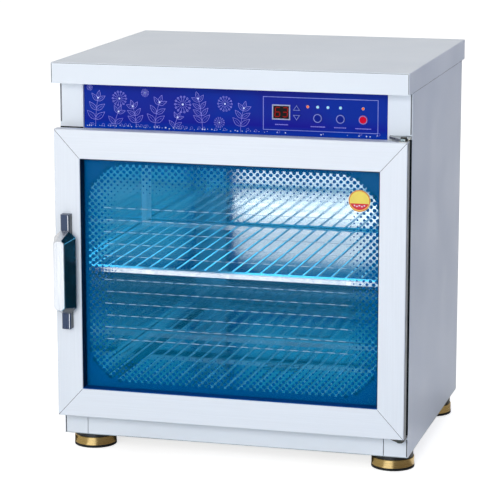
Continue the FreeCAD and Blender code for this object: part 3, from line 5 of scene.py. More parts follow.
import bpy
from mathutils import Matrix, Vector


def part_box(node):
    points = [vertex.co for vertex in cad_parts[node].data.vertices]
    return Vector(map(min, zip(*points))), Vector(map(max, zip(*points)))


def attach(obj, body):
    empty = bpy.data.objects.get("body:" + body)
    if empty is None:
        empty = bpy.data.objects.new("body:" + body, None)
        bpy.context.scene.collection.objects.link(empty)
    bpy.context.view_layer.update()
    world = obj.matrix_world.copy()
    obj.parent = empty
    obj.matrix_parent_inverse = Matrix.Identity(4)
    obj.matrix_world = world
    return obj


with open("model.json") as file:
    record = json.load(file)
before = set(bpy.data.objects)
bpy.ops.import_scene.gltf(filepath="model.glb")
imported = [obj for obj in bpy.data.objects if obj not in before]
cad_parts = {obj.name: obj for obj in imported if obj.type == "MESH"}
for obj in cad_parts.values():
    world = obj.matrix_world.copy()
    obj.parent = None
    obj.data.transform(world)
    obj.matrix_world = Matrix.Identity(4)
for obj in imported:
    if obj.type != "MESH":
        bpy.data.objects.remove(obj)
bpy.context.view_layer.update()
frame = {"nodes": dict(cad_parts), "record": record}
NODES = frame["nodes"]
MM = 0.001  # one millimetre in Blender's metres
TINY = 1e-6  # a length that counts as none
SIDES = (("left", -1), ("right", 1))  # the name of each side and its sign along x
WHITE = (1.0, 1.0, 1.0)
random.seed(7)


# ---- points and faces

def lin(r, g, b):
    """A colour written as 0-255 sRGB, as the linear value that a shader takes."""
    def one(c):
        c /= 255.0
        return c / 12.92 if c <= 0.04045 else ((c + 0.055) / 1.055) ** 2.4
    return (one(r), one(g), one(b))


def scaled(rgb, factor):
    """A colour made lighter or darker, and kept within 1."""
    return tuple(min(1.0, c * factor) for c in rgb)


def polar(x, z, radius, angle):
    """The point at that distance and angle, in radians, from (x, z)."""
    return (x + radius * math.cos(angle), z + radius * math.sin(angle))


def box_mm(node):
    """A node's lowest and highest corners at rest, in millimetres."""
    return [[c / MM for c in corner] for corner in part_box(node)]


def middle_mm(node):
    """The middle of a node's box, in millimetres."""
    return [(low + high) / 2 for low, high in zip(*box_mm(node))]


def rectangle(low, high):
    """The corners of a rectangle that lies in a plane of two axes, from its lowest and its highest corner."""
    first = next(axis for axis in range(3) if low[axis] != high[axis])
    after_low = tuple(high[axis] if axis == first else low[axis] for axis in range(3))
    after_high = tuple(low[axis] if axis == first else high[axis] for axis in range(3))
    return [low, after_low, high, after_high]


def put(node, **values):
    """Sets a node's inputs. A name's underscores stand for spaces."""
    for name, value in values.items():
        node.inputs[name.replace("_", " ")].default_value = value


def strip_faces(pairs, quads):
    """Quads between pairs of points that follow one another; the last pair may join the first."""
    n = 2 * pairs
    return [(2 * i, 2 * i + 1, (2 * i + 3) % n, (2 * i + 2) % n) for i in range(quads)]


def tier_faces(start, sides):
    """Quads between a ring of points and the ring that follows it."""
    after = [start + (i + 1) % sides for i in range(sides)]
    return [(start + i, after[i], after[i] + sides, start + i + sides) for i in range(sides)]


# ---- materials

NOISE_ROUGHNESS = 0.55
NOISE_LOW, NOISE_HIGH = 0.3, 0.7  # nearly all of a noise texture lies between these
SMOOTHEST = 0.02


class Finish:
    """A Principled material whose varying colour, roughness and relief come from noise in object space."""

    def __init__(self, name, rgb, roughness, metallic=0.0, specular=0.5, **sockets):
        self.material = bpy.data.materials.new(name)
        self.material.use_nodes = True
        self.nodes = self.material.node_tree.nodes
        self.links = self.material.node_tree.links
        self.bsdf = self.nodes["Principled BSDF"]
        self.rgb = rgb
        self.roughness = roughness
        self.coordinates = None
        put(self.bsdf, Base_Color=(*rgb, 1.0), Metallic=metallic, Roughness=roughness,
            Specular_IOR_Level=specular, **sockets)

    def place(self, stretch=(1, 1, 1)):
        """The object's own coordinates in metres, multiplied along each axis."""
        if self.coordinates is None:
            self.coordinates = self.nodes.new("ShaderNodeTexCoord")
        mapping = self.nodes.new("ShaderNodeMapping")
        put(mapping, Scale=stretch)
        self.links.new(self.coordinates.outputs["Object"], mapping.inputs["Vector"])
        return mapping.outputs["Vector"]

    def noise(self, scale, detail=3.0, stretch=(1, 1, 1)):
        node = self.nodes.new("ShaderNodeTexNoise")
        put(node, Scale=scale, Detail=detail, Roughness=NOISE_ROUGHNESS)
        self.links.new(self.place(stretch), node.inputs["Vector"])
        return node.outputs["Fac"]

    def axis(self, name):
        split = self.nodes.new("ShaderNodeSeparateXYZ")
        self.links.new(self.place(), split.inputs["Vector"])
        return split.outputs[name]

    def ramp(self, source, stops):
        node = self.nodes.new("ShaderNodeValToRGB")
        elements = node.color_ramp.elements
        while len(elements) < len(stops):
            elements.new(0.5)
        for element, (position, rgb) in zip(elements, stops):
            element.position = position
            element.color = (*rgb, 1.0)
        self.links.new(source, node.inputs["Fac"])
        return node.outputs["Color"]

    def span(self, source, low, high, to_low=0.0, to_high=1.0):
        node = self.nodes.new("ShaderNodeMapRange")
        put(node, From_Min=low, From_Max=high, To_Min=to_low, To_Max=to_high)
        self.links.new(source, node.inputs["Value"])
        return node.outputs["Result"]

    def mix(self, factor, a, b):
        """Two colours mixed. Each value is a node's output or a constant."""
        node = self.nodes.new("ShaderNodeMix")
        node.data_type = "RGBA"
        for socket, value in ((node.inputs["Factor"], factor), (node.inputs[6], a), (node.inputs[7], b)):
            if hasattr(value, "is_linked"):
                self.links.new(value, socket)
            elif isinstance(value, tuple):
                socket.default_value = (*value, 1.0)
            else:
                socket.default_value = value
        return node.outputs[2]

    def colour(self, output):
        self.links.new(output, self.bsdf.inputs["Base Color"])
        return self

    def mottle(self, amount, scale, stretch=(1, 1, 1), detail=3.0):
        """The colour varies by that share, up and down."""
        stops = [(NOISE_LOW, scaled(self.rgb, 1 - amount)), (NOISE_HIGH, scaled(self.rgb, 1 + amount))]
        return self.colour(self.ramp(self.noise(scale, detail, stretch), stops))

    def wear(self, spread, scale, stretch=(1, 1, 1), detail=3.0):
        """The roughness varies by that much, up and down."""
        least = max(SMOOTHEST, self.roughness - spread)
        most = min(1.0, self.roughness + spread)
        varied = self.span(self.noise(scale, detail, stretch), NOISE_LOW, NOISE_HIGH, least, most)
        self.links.new(varied, self.bsdf.inputs["Roughness"])
        return self

    def bump(self, height, scale, stretch=(1, 1, 1), detail=3.0, *, strength):
        """Relief of that height in metres."""
        node = self.nodes.new("ShaderNodeBump")
        put(node, Strength=strength, Distance=height)
        self.links.new(self.noise(scale, detail, stretch), node.inputs["Height"])
        self.links.new(node.outputs["Normal"], self.bsdf.inputs["Normal"])
        return self

    def glow(self, rgb, strength):
        put(self.bsdf, Emission_Color=(*rgb, 1.0), Emission_Strength=strength)
        return self


# ---- pieces

def linked(name, data):
    """A new object in the scene that shows that data."""
    obj = bpy.data.objects.new(name, data)
    bpy.context.collection.objects.link(obj)
    return obj


def piece(name, verts, faces, finish, body, smooth=False):
    """A mesh piece in metres, riding on a body."""
    mesh = bpy.data.meshes.new(name)
    mesh.from_pydata([tuple(v) for v in verts], [], faces)
    mesh.validate()
    mesh.update()
    for polygon in mesh.polygons:
        polygon.use_smooth = smooth
    mesh.materials.append(finish.material)
    obj = linked(name, mesh)
    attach(obj, body)


class Print:
    """Flat print on a vertical plane that faces the front, gathered shape by shape, in millimetres."""

    def __init__(self, y):
        self.y = y
        self.verts = []
        self.faces = []

    def add(self, points, faces):
        start = len(self.verts)
        self.verts += [(x * MM, self.y * MM, z * MM) for x, z in points]
        self.faces += [tuple(start + i for i in face) for face in faces]

    def fill(self, points):
        self.add(points, [tuple(range(len(points)))])

    def bar(self, x0, x1, z0, z1):
        self.fill([(x0, z0), (x1, z0), (x1, z1), (x0, z1)])

    def disc(self, x, z, radius, sides, turn=0.0):
        self.fill([polar(x, z, radius, turn + 2 * math.pi * i / sides) for i in range(sides)])

    def ring(self, x, z, inner, outer, sides=40):
        points = []
        for i in range(sides):
            angle = 2 * math.pi * i / sides
            points += [polar(x, z, inner, angle), polar(x, z, outer, angle)]
        self.add(points, strip_faces(sides, sides))

    def line(self, points, width, closed=False):
        """A line of even width along points, with mitred joints that are at most twice as wide."""
        count = len(points)
        edges = []
        for i, (x, z) in enumerate(points):
            before = points[i - 1] if closed or i > 0 else (x, z)
            after = points[(i + 1) % count] if closed or i < count - 1 else (x, z)
            arriving = Vector((x - before[0], z - before[1]))
            leaving = Vector((after[0] - x, after[1] - z))
            arriving = arriving.normalized() if arriving.length > TINY else leaving.normalized()
            leaving = leaving.normalized() if leaving.length > TINY else arriving
            along = arriving + leaving
            along = along.normalized() if along.length > TINY else arriving
            across = Vector((-along.y, along.x))
            slant = abs(across.dot(Vector((-arriving.y, arriving.x))))
            half = width / 2 * (1.0 / max(0.5, slant))
            edges += [(x + across.x * half, z + across.y * half), (x - across.x * half, z - across.y * half)]
        self.add(edges, strip_faces(count, count if closed else count - 1))

    def make(self, name, finish, body):
        piece(name, self.verts, self.faces, finish, body)


# ---- finishes of case, door and panel

paint = Finish("case_satin_paint", lin(222, 229, 237), roughness=0.42, specular=0.35)
paint.mottle(0.018, 5.0).wear(0.05, 14.0).bump(0.00004, 900.0, detail=2.0, strength=0.35)


def anodised(name, stretch):
    """Satin aluminium with fine lines along the bar, where the stretch is small."""
    finish = Finish(name, lin(224, 230, 238), roughness=0.42, specular=0.2)
    finish.mottle(0.022, 1.0, stretch, detail=4.0).wear(0.07, 1.0, stretch, detail=4.0)
    return finish.bump(0.00003, 1.0, stretch, detail=2.0, strength=0.4)


frame_across = anodised("door_satin_across", (12, 500, 900))
frame_upright = anodised("door_satin_upright", (900, 500, 12))

# the panel's print runs from its lower edge up to the lid
PANEL_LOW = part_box("control_fascia")[0][2]
PANEL_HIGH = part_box("lid")[0][2]
fascia = Finish("fascia_printed_blue", lin(10, 40, 146), roughness=0.45, specular=0.08)
bands = fascia.ramp(fascia.span(fascia.axis("Z"), PANEL_LOW, PANEL_HIGH), [
    (0.0, lin(0, 66, 176)), (0.09, lin(0, 56, 172)), (0.20, lin(22, 28, 150)),
    (0.42, lin(18, 46, 148)), (0.80, lin(18, 44, 144)), (1.0, lin(24, 32, 130))])
cloud = fascia.noise(9.0, 2.0, (1.2, 1, 1.6))
patches = fascia.ramp(cloud, [(0.44, lin(4, 48, 158)), (0.62, lin(34, 20, 140))])
fascia.colour(fascia.mix(0.35, bands, patches)).wear(0.05, 60.0)

bezel = Finish("bezel_pale_plastic", lin(160, 164, 194), roughness=0.4).mottle(0.03, 60.0).wear(0.06, 90.0)
display = Finish("display_dark_window", lin(10, 4, 8), roughness=0.2, specular=0.15)
display.mottle(0.2, 120.0).wear(0.04, 60.0)
caps = Finish("light_caps_clear", lin(200, 216, 226), roughness=0.25).mottle(0.04, 300.0).wear(0.05, 200.0)


def membrane(name, rgb):
    """A key's printed plastic, with a fine grain."""
    finish = Finish(name, rgb, roughness=0.5, specular=0.1)
    return finish.mottle(0.06, 250.0).wear(0.05, 200.0).bump(0.00001, 2500.0, strength=0.3)


keys = membrane("key_membrane_blue", lin(10, 30, 134))
red = membrane("power_key_red", lin(206, 4, 46))
board = Finish("board_green", lin(28, 92, 58), roughness=0.45).mottle(0.15, 160.0).wear(0.1, 90.0)

# ---- finishes of the chamber

tank = Finish("tank_bright_steel", lin(222, 238, 244), metallic=1.0, roughness=0.07)
tank.mottle(0.05, 6.0).wear(0.03, 1.0, (8, 8, 260), detail=4.0).bump(0.0004, 7.0, detail=1.0, strength=0.12)
panel = Finish("zinc_coated_steel", lin(176, 180, 182), metallic=0.85, roughness=0.42)
panel.mottle(0.10, 90.0, detail=5.0).wear(0.12, 70.0).bump(0.00003, 500.0, strength=0.3)
shelf = Finish("shelf_bright_wire", lin(246, 250, 252), metallic=0.8, roughness=0.16)
shelf.mottle(0.03, 50.0).wear(0.06, 60.0).bump(0.00004, 260.0, strength=0.3)
lamp_glass = Finish("lamp_quartz", lin(120, 200, 240), roughness=0.12)
lamp_glass.mottle(0.05, 40.0).wear(0.03, 80.0).glow(lin(60, 190, 255), 9.0)
lamp_cap = Finish("lamp_cap_aluminium", lin(196, 200, 205), metallic=1.0, roughness=0.3)
lamp_cap.mottle(0.05, 80.0).wear(0.08, 1.0, (20, 900, 900))
socket_white = Finish("moulded_off_white", lin(226, 226, 218), roughness=0.45)
socket_white.mottle(0.03, 60.0).wear(0.08, 90.0).bump(0.00002, 900.0, strength=0.3)
mirror = Finish("reflector_mirror", lin(212, 224, 232), metallic=1.0, roughness=0.08)
mirror.mottle(0.03, 12.0).wear(0.03, 30.0)
gear = Finish("ballast_grey_enamel", lin(120, 124, 128), metallic=0.3, roughness=0.45)
gear.mottle(0.07, 60.0).wear(0.1, 60.0).bump(0.00003, 400.0, strength=0.3)
# near-white and matt: the flanges are a real lap, and their pale finish is a painted highlight on the
# chamber's side walls
flange_highlight = Finish("tank_flange_highlight_steel", lin(250, 250, 252), metallic=0.15, roughness=0.4)
flange_highlight.mottle(0.05, 20.0).wear(0.08, 30.0)

# ---- finishes of handle, hinges and feet, and of painted shade, shadows and reflections

black = Finish("black_moulded_plastic", lin(26, 26, 28), roughness=0.48)
black.mottle(0.12, 130.0).wear(0.1, 120.0).bump(0.00003, 1400.0, strength=0.4)
rubber = Finish("black_rubber", lin(30, 29, 30), roughness=0.72)
rubber.mottle(0.15, 160.0).wear(0.1, 200.0).bump(0.00004, 1200.0, strength=0.5)
chrome = Finish("handle_chrome", lin(204, 206, 211), metallic=0.85, roughness=0.25)
chrome.mottle(0.05, 1.0, (1300, 1300, 6), detail=2.0).wear(0.06, 1.0, (1500, 1500, 8), detail=3.0)
chrome.bump(0.00002, 1.0, (1100, 1100, 4), strength=0.12)
slate = Finish("handle_base_slate", lin(54, 66, 92), metallic=0.35, roughness=0.34)
slate.mottle(0.07, 1.0, (900, 900, 30)).wear(0.08, 1.0, (900, 900, 30))
slate.bump(0.00002, 1.0, (1100, 1100, 20), strength=0.25)
# a dark sheet that paints the dark reflections on the handle's chrome facets and on the base's flank
dark_reflection_sheet = Finish("handle_painted_dark_reflection", lin(8, 26, 34), roughness=0.12)
dark_reflection_sheet.mottle(0.2, 30.0, (1, 1, 0.2)).wear(0.05, 1.0, (1400, 1400, 10))
plated = Finish("zinc_plated_steel", lin(176, 178, 176), metallic=1.0, roughness=0.3)
plated.mottle(0.10, 220.0).wear(0.10, 260.0)
# painted shade: the bottom bracket and the pins are plated steel like the top bracket, darkened for the shade
# below the door
shaded_hinge_steel = Finish("hinge_steel_painted_shade", lin(84, 82, 76), metallic=0.6, roughness=0.45)
shaded_hinge_steel.mottle(0.10, 220.0).wear(0.10, 260.0)
brass = Finish("foot_band_brass", lin(190, 163, 108), metallic=1.0, roughness=0.27, Anisotropic=0.4)
brass.mottle(0.08, 1.0, (60, 60, 2200)).wear(0.08, 1.0, (60, 60, 2600))
brass.bump(0.00002, 1.0, (40, 40, 3000), strength=0.3)
# black for painted shadows, the line round the door opening and the lines under the lid, and for the feet's
# real rubber lips
shadow_and_rubber_black = Finish("painted_shadow_and_rubber_black", lin(24, 28, 30), roughness=0.6, specular=0.2)
shadow_and_rubber_black.mottle(0.12, 120.0).wear(0.08, 160.0)
# painted shade: fine dark lines for the shade in the door's mitre gaps and along the lid's and the posts'
# folded edges
painted_edge_shade = Finish("seam_shadow", lin(96, 98, 104), roughness=0.7, specular=0.1)
painted_edge_shade.mottle(0.2, 60.0).wear(0.08, 100.0)
# painted reflection: a dark band and a lighter streak, the dark surroundings that show on the bare metal of
# the stiles' outer sides
painted_dark_reflection = Finish("stile_reflection_dark_grey", lin(126, 130, 127), roughness=0.5, specular=0.2)
painted_dark_reflection.mottle(0.08, 90.0).wear(0.08, 60.0)
painted_light_reflection = Finish("stile_reflection_light_grey", lin(200, 200, 194), roughness=0.45, specular=0.2)
painted_light_reflection.mottle(0.06, 90.0).wear(0.08, 60.0)

# ---- finishes of pane, bead and print

pane = Finish("door_pane_tinted", lin(0, 122, 172), roughness=0.03, specular=0.15, Alpha=0.18)
pane.wear(0.02, 9.0)
pane.material.surface_render_method = "BLENDED"

# the bead is navy, and its lower strip, up to 3 mm, a lighter blue
BEAD_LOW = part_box("glazing_bead")[0][2]
NAVY = lin(6, 26, 52)
bead = Finish("glazing_bead_navy", NAVY, roughness=0.5, specular=0.1)
bead_height = bead.span(bead.axis("Z"), BEAD_LOW + 0.5 * MM, BEAD_LOW + 3.0 * MM)
bead_blue = bead.ramp(bead_height, [(0.0, lin(4, 74, 148)), (1.0, NAVY)])
bead_stain = bead.span(bead.noise(90.0), NOISE_LOW, NOISE_HIGH, 0.0, 0.25)
bead.colour(bead.mix(bead_stain, bead_blue, lin(4, 20, 40))).wear(0.08, 160.0)

film = Finish("print_deep_blue", lin(0, 78, 158), roughness=0.5, specular=0.03)
film.mottle(0.05, 30.0).wear(0.06, 90.0)
ink = Finish("print_white_ink", lin(206, 222, 232), roughness=0.5).mottle(0.04, 200.0).wear(0.06, 200.0)
faint_ink = Finish("print_faint_line", lin(120, 158, 186), roughness=0.5)
faint_ink.mottle(0.05, 200.0).wear(0.06, 200.0)
lilac = Finish("print_lilac_line", lin(148, 146, 230), roughness=0.5, specular=0.1)
lilac.mottle(0.10, 40.0).wear(0.06, 200.0)
pale_ink = Finish("print_pale_spots", lin(212, 222, 248), roughness=0.45)
pale_ink.mottle(0.05, 300.0).wear(0.06, 200.0)
outline_ink = Finish("print_outline", lin(128, 138, 214), roughness=0.45)
outline_ink.mottle(0.10, 60.0).wear(0.06, 200.0)
yellow = Finish("sticker_yellow", lin(232, 211, 96), roughness=0.42)
yellow.mottle(0.04, 70.0).wear(0.06, 150.0).bump(0.00002, 500.0, strength=0.3)
sticker_red = Finish("sticker_red", lin(208, 40, 52), roughness=0.42).mottle(0.05, 70.0).wear(0.06, 150.0)
digit = Finish("display_digit_red", lin(120, 14, 14), roughness=0.4, specular=0.1)
digit.mottle(0.10, 600.0).wear(0.05, 200.0).glow(lin(190, 24, 20), 0.22)
amber = Finish("light_amber", lin(226, 92, 36), roughness=0.3)
amber.mottle(0.05, 900.0).wear(0.05, 500.0).glow(lin(250, 100, 30), 0.22)
ice = Finish("light_pale", lin(150, 216, 238), roughness=0.25)
ice.mottle(0.04, 900.0).wear(0.05, 500.0).glow(lin(150, 220, 240), 0.15)

# ---- what each node of the CAD is finished in

BY_SLOT = {
    "case_paint": paint, "door_frame": frame_across, "fascia_blue": fascia, "bezel_plastic": bezel,
    "display": display, "light_caps": caps, "key_caps": keys, "red_cap": red, "board": board,
    "tank_steel": tank, "panel_steel": panel, "shelf_wire": shelf, "lamp_glass": lamp_glass,
    "lamp_cap": lamp_cap, "socket_plastic": socket_white, "mirror_sheet": mirror, "gear_metal": gear,
    "black_plastic": black, "door_glass": pane, "soft_rubber": rubber, "chrome_grip": chrome,
    "slate_base": slate, "plated_steel": plated, "brass_band": brass,
}
BY_NODE = {
    "door_stile_left": frame_upright, "door_stile_right": frame_upright, "glazing_bead": bead,
    # the bottom bracket and the pins in painted shade
    "bottom_hinge_bracket": shaded_hinge_steel, "hinge_pins": shaded_hinge_steel,
}

for subpart in frame["record"]["subparts"]:
    node = subpart["node"]
    node_finish = BY_NODE.get(node, BY_SLOT[subpart["material_slot"]])
    for material_slot in NODES[node].material_slots:
        material_slot.link = "DATA"
        material_slot.material = node_finish.material


# ---- print behind the pane, in millimetres

LAYER = 0.03  # how far a layer of print stands off what is under it
FILM_STANDS = 0.08  # behind the pane
PANE_LOW, PANE_HIGH = box_mm("door_glass")
PRINT_Y = PANE_HIGH[1] + FILM_STANDS
WINDOW_Z = middle_mm("door_glass")[2]
CLEAR_HALF_WIDTH, CLEAR_HALF_HEIGHT, CLEAR_CORNER = 206.0, 155.0, 58.0
BORDER_HALF_WIDTH, BORDER_HALF_HEIGHT = 216.5, 169.0
CORNER_STEPS = 18
NET_PITCH_X, NET_PITCH_Z = 9.3, 4.65
NET_OVERLAP, NET_BAND = 1.5, 40.0  # the net runs from under the border to this far into the clear field
NET_COLUMNS = 24  # to either side of the middle
DOT_LARGEST, DOT_SHRINK, DOT_TURN = 3.05, 2.3, 0.31
LINE_COUNT, LINE_TOP, LINE_PITCH = 12, 356.6, 17.0
LINE_LEFT, LINE_RIGHT, LINE_WIDTH = -183.3, 174.0, 0.55
DASH = ((0.0, 0.0), (2.0, 0.25), (8.5, 0.1), (10.5, 0.0))
DASH_PITCH, DASH_SHIFT, DASH_WIDTH = 17.6, 3.0, 1.05
LAST_DASH_FROM_END = 6.0


def clear_depth(x, z):
    """How far (x, z) lies inside the rounded outline of the clear field."""
    past_x = abs(x) - (CLEAR_HALF_WIDTH - CLEAR_CORNER)
    past_z = abs(z - WINDOW_Z) - (CLEAR_HALF_HEIGHT - CLEAR_CORNER)
    outside = math.hypot(max(past_x, 0.0), max(past_z, 0.0))
    return CLEAR_CORNER - outside - min(max(past_x, past_z), 0.0)


def pane_border():
    """The blue border between the rounded clear field and the edge that the frame covers."""
    points = []
    for sign_x, sign_z, start in ((1, 1, 0), (-1, 1, 90), (-1, -1, 180), (1, -1, 270)):
        x = sign_x * (CLEAR_HALF_WIDTH - CLEAR_CORNER)
        z = sign_z * (CLEAR_HALF_HEIGHT - CLEAR_CORNER)
        for step in range(CORNER_STEPS + 1):
            angle = math.radians(start + 90 * step / CORNER_STEPS)
            to_side = (BORDER_HALF_WIDTH - abs(x)) / max(abs(math.cos(angle)), TINY)
            to_end = (BORDER_HALF_HEIGHT - abs(z)) / max(abs(math.sin(angle)), TINY)
            points.append(polar(x, WINDOW_Z + z, CLEAR_CORNER, angle))
            points.append(polar(x, WINDOW_Z + z, min(to_side, to_end), angle))
    pairs = len(points) // 2
    border = Print(PRINT_Y)
    border.add(points, strip_faces(pairs, pairs))
    border.make("pane_print_border", film, "door")


def pane_net():
    """Rows of dots that shrink inwards from the border. Every other row is set half a pitch aside."""
    net = Print(PRINT_Y)
    rows = int(2 * CLEAR_HALF_HEIGHT / NET_PITCH_Z) + 2
    for row in range(-rows // 2, rows // 2 + 1):
        shift = 0.5 * NET_PITCH_X if row % 2 else 0.0
        for column in range(-NET_COLUMNS, NET_COLUMNS + 1):
            x = column * NET_PITCH_X + shift
            z = WINDOW_Z + row * NET_PITCH_Z
            depth = clear_depth(x, z)
            if -NET_OVERLAP <= depth <= NET_BAND:
                radius = DOT_LARGEST - DOT_SHRINK * max(0.0, depth) / NET_BAND
                net.disc(x, z, radius, sides=10, turn=DOT_TURN)
    net.make("pane_print_net", film, "door")


def pane_lines():
    """Faint level lines across the pane, each with a row of short white dashes on it."""
    faint = Print(PRINT_Y)
    dashes = Print(PRINT_Y - LAYER)
    for row in range(LINE_COUNT):
        z = LINE_TOP - LINE_PITCH * row
        faint.line([(LINE_LEFT, z), (LINE_RIGHT, z)], LINE_WIDTH)
        x = LINE_LEFT + (DASH_SHIFT if row % 2 else 0.0)
        while x < LINE_RIGHT - LAST_DASH_FROM_END:
            dashes.line([(x + along, z + up) for along, up in DASH], DASH_WIDTH)
            x += DASH_PITCH
    faint.make("pane_print_lines", faint_ink, "door")
    dashes.make("pane_print_dashes", ink, "door")


pane_border()
pane_net()
pane_lines()

# ---- sticker on the pane's front

STICKER_X, STICKER_Z = 180.2, 383.8
STICKER_RADIUS = 15.0
STICKER_SIDES = 56
GROUND_STANDS, BAND_STANDS, SPOTS_STAND = 0.12, 0.18, 0.22  # in front of the pane
STICKER_RING_INNER, STICKER_RING_OUTER = 13.6, 14.5
BAND_RADIUS, BAND_ABOVE_MIDDLE = 13.4, 1.0
BAND_START, BAND_SWEEP, BAND_STEPS = 200, 140, 20  # degrees
SPOT_PITCH, SPOT_RADIUS, SPOTS_BELOW_MIDDLE, SPOT_STAGGER = 3.4, 1.1, 6.3, 1.2


def sticker():
    """A plain round sticker: a ring near its edge, a band across its foot and five spots on the band."""
    front = PANE_LOW[1]
    ground = Print(front - GROUND_STANDS)
    ground.disc(STICKER_X, STICKER_Z, STICKER_RADIUS, sides=STICKER_SIDES)
    ground.make("sticker_ground", yellow, "door")

    band = Print(front - BAND_STANDS)
    arc = [math.radians(BAND_START + BAND_SWEEP * i / BAND_STEPS) for i in range(BAND_STEPS + 1)]
    band.fill([polar(STICKER_X, STICKER_Z + BAND_ABOVE_MIDDLE, BAND_RADIUS, angle) for angle in arc])
    band.ring(STICKER_X, STICKER_Z, STICKER_RING_INNER, STICKER_RING_OUTER, sides=STICKER_SIDES)
    band.make("sticker_band", sticker_red, "door")

    spots = Print(front - SPOTS_STAND)
    for i in range(-2, 3):
        z = STICKER_Z - SPOTS_BELOW_MIDDLE - (SPOT_STAGGER if i % 2 else 0.0)
        spots.disc(STICKER_X + SPOT_PITCH * i, z, SPOT_RADIUS, sides=5, turn=math.pi / 2)
    spots.make("sticker_spots", pale_ink, "door")


sticker()

# ---- print on the control panel

PRINT_STANDS = 0.06  # in front of the panel
PANEL_Y = box_mm("control_fascia")[0][1] - PRINT_STANDS
STROKE, RIB_STROKE, RAY_STROKE = 0.46, 0.26, 0.36
LEAF_STEPS, STEM_STEPS = 10, 14
LEAF_TURN = 0.85  # from the stem to a leaf, in radians
LEAF_SLIMNESS = 0.42  # a leaf's width as a share of its length
RIB_SHARE = 0.7  # the rib's length as a share of the leaf's
FIRST_PAIR, LAST_PAIR = 0.25, 0.90  # where the pairs sit, as shares of the stem's height
TOP_SHORTENING = 0.35
END_LEAF_LENGTH, END_LEAF_WIDTH = 0.62, 0.3
BUD_RADIUS = 1.25
RAYS = 14
# all as shares of the seed head's radius
RAY_START, RAY_RING_AT, RAY_RING_INNER, RAY_RING_OUTER, HEAD_MIDDLE = 0.35, 1.12, 0.09, 0.15, 0.16
# x and z of the foot, lean, height, pairs of leaves, length of the lowest leaf
SPRIGS = (
    (-198, 468, 0.10, 40, 3, 17.0), (-170, 467, 0.24, 23, 2, 14.0), (-139, 468, -0.16, 30, 3, 14.5),
    (-112, 467, 0.18, 38, 3, 16.5), (-84, 467, 0.26, 18, 2, 12.0), (-44, 468, -0.14, 44, 4, 15.5),
    (10, 468, 0.14, 33, 3, 16.0))
# x and z of the middle, radius
SEED_HEADS = (
    (-163, 508, 8.5), (-72, 503, 9.5), (-12, 506, 8.5), (-20, 480, 6.0), (-126, 517, 4.5), (-206, 522, 3.6))
SPECKS_LEFT, SPECKS_RIGHT, SPECKS_DENSE_TO = -210.0, 208.0, 40
SPECK_Z, SPECK_Z_SPREAD = 468.6, 1.9
SPECK_RADIUS, SPECK_RADIUS_SPREAD = 0.45, 0.75
SPECK_STEP, SPECK_STEP_SPREAD = 2.6, 4.2
SPECK_WAVE = 0.11  # how fast the size swells and shrinks along x, in radians
SPECK_CHANCE = 0.35
RING_BESIDE, RING_Z, RING_Z_SPREAD = 2.2, 470.6, 1.5
RING_INNER, RING_OUTER = 1.5, 1.85
OUTLINE_X, OUTLINE_Z = (42.0, 200.6), (473.2, 518.0)
# x of the middle, z and width of the bar where each caption would be
CAPTIONS = ((67.0, 480.6, 17.0), (117.7, 479.4, 19.0), (149.2, 479.2, 17.0), (180.3, 479.0, 21.0))
CAPTION_STEP, CAPTION_STEP_SPREAD = 1.1, 1.6
CAPTION_HEIGHT = 1.2
CAPTION_INKED = 0.72  # the bar's share of each step
OUTLINE_WIDTH = 0.9


def leaf(lines, x, z, angle, length, width):
    """A pointed leaf's outline with its rib, from its stalk."""
    c, s = math.cos(angle), math.sin(angle)
    left, right = [], []
    for i in range(LEAF_STEPS + 1):
        t = i / LEAF_STEPS
        half = width / 2 * math.sin(math.pi * t ** 0.8)
        left.append((x + c * length * t - s * half, z + s * length * t + c * half))
        right.append((x + c * length * t + s * half, z + s * length * t - c * half))
    lines.line(left + right[-2:0:-1], STROKE, closed=True)
    lines.line([(x, z), polar(x, z, length * RIB_SHARE, angle)], RIB_STROKE)


def sprig(lines, spots, x, z, lean, tall, pairs, size):
    """A curved stem with leaves in pairs, a leaf at its end and a bright bud on its tip."""
    def stem(t):
        return (x + lean * tall * t * t, z + tall * t)

    lines.line([stem(i / STEM_STEPS) for i in range(STEM_STEPS + 1)], STROKE)
    for pair in range(pairs):
        t = FIRST_PAIR + (LAST_PAIR - FIRST_PAIR) * pair / max(1, pairs - 1)
        up = math.atan2(tall, 2 * lean * tall * t)
        length = size * (1.0 - TOP_SHORTENING * pair / pairs)
        for turn in (LEAF_TURN, -LEAF_TURN):
            leaf(lines, *stem(t), up + turn, length, length * LEAF_SLIMNESS)
    tip = stem(1.0)
    leaf(lines, *tip, math.atan2(tall, 2 * lean * tall), size * END_LEAF_LENGTH, size * END_LEAF_WIDTH)
    spots.disc(*tip, BUD_RADIUS, sides=12)


def seed_head(lines, spots, x, z, radius):
    """A round seed head: short strokes with a small ring on each, set round a bright middle."""
    for i in range(RAYS):
        angle = 2 * math.pi * i / RAYS
        lines.line([polar(x, z, RAY_START * radius, angle), polar(x, z, radius, angle)], RAY_STROKE)
        ring_x, ring_z = polar(x, z, RAY_RING_AT * radius, angle)
        lines.ring(ring_x, ring_z, RAY_RING_INNER * radius, RAY_RING_OUTER * radius, sides=10)
    spots.disc(x, z, HEAD_MIDDLE * radius, sides=12)


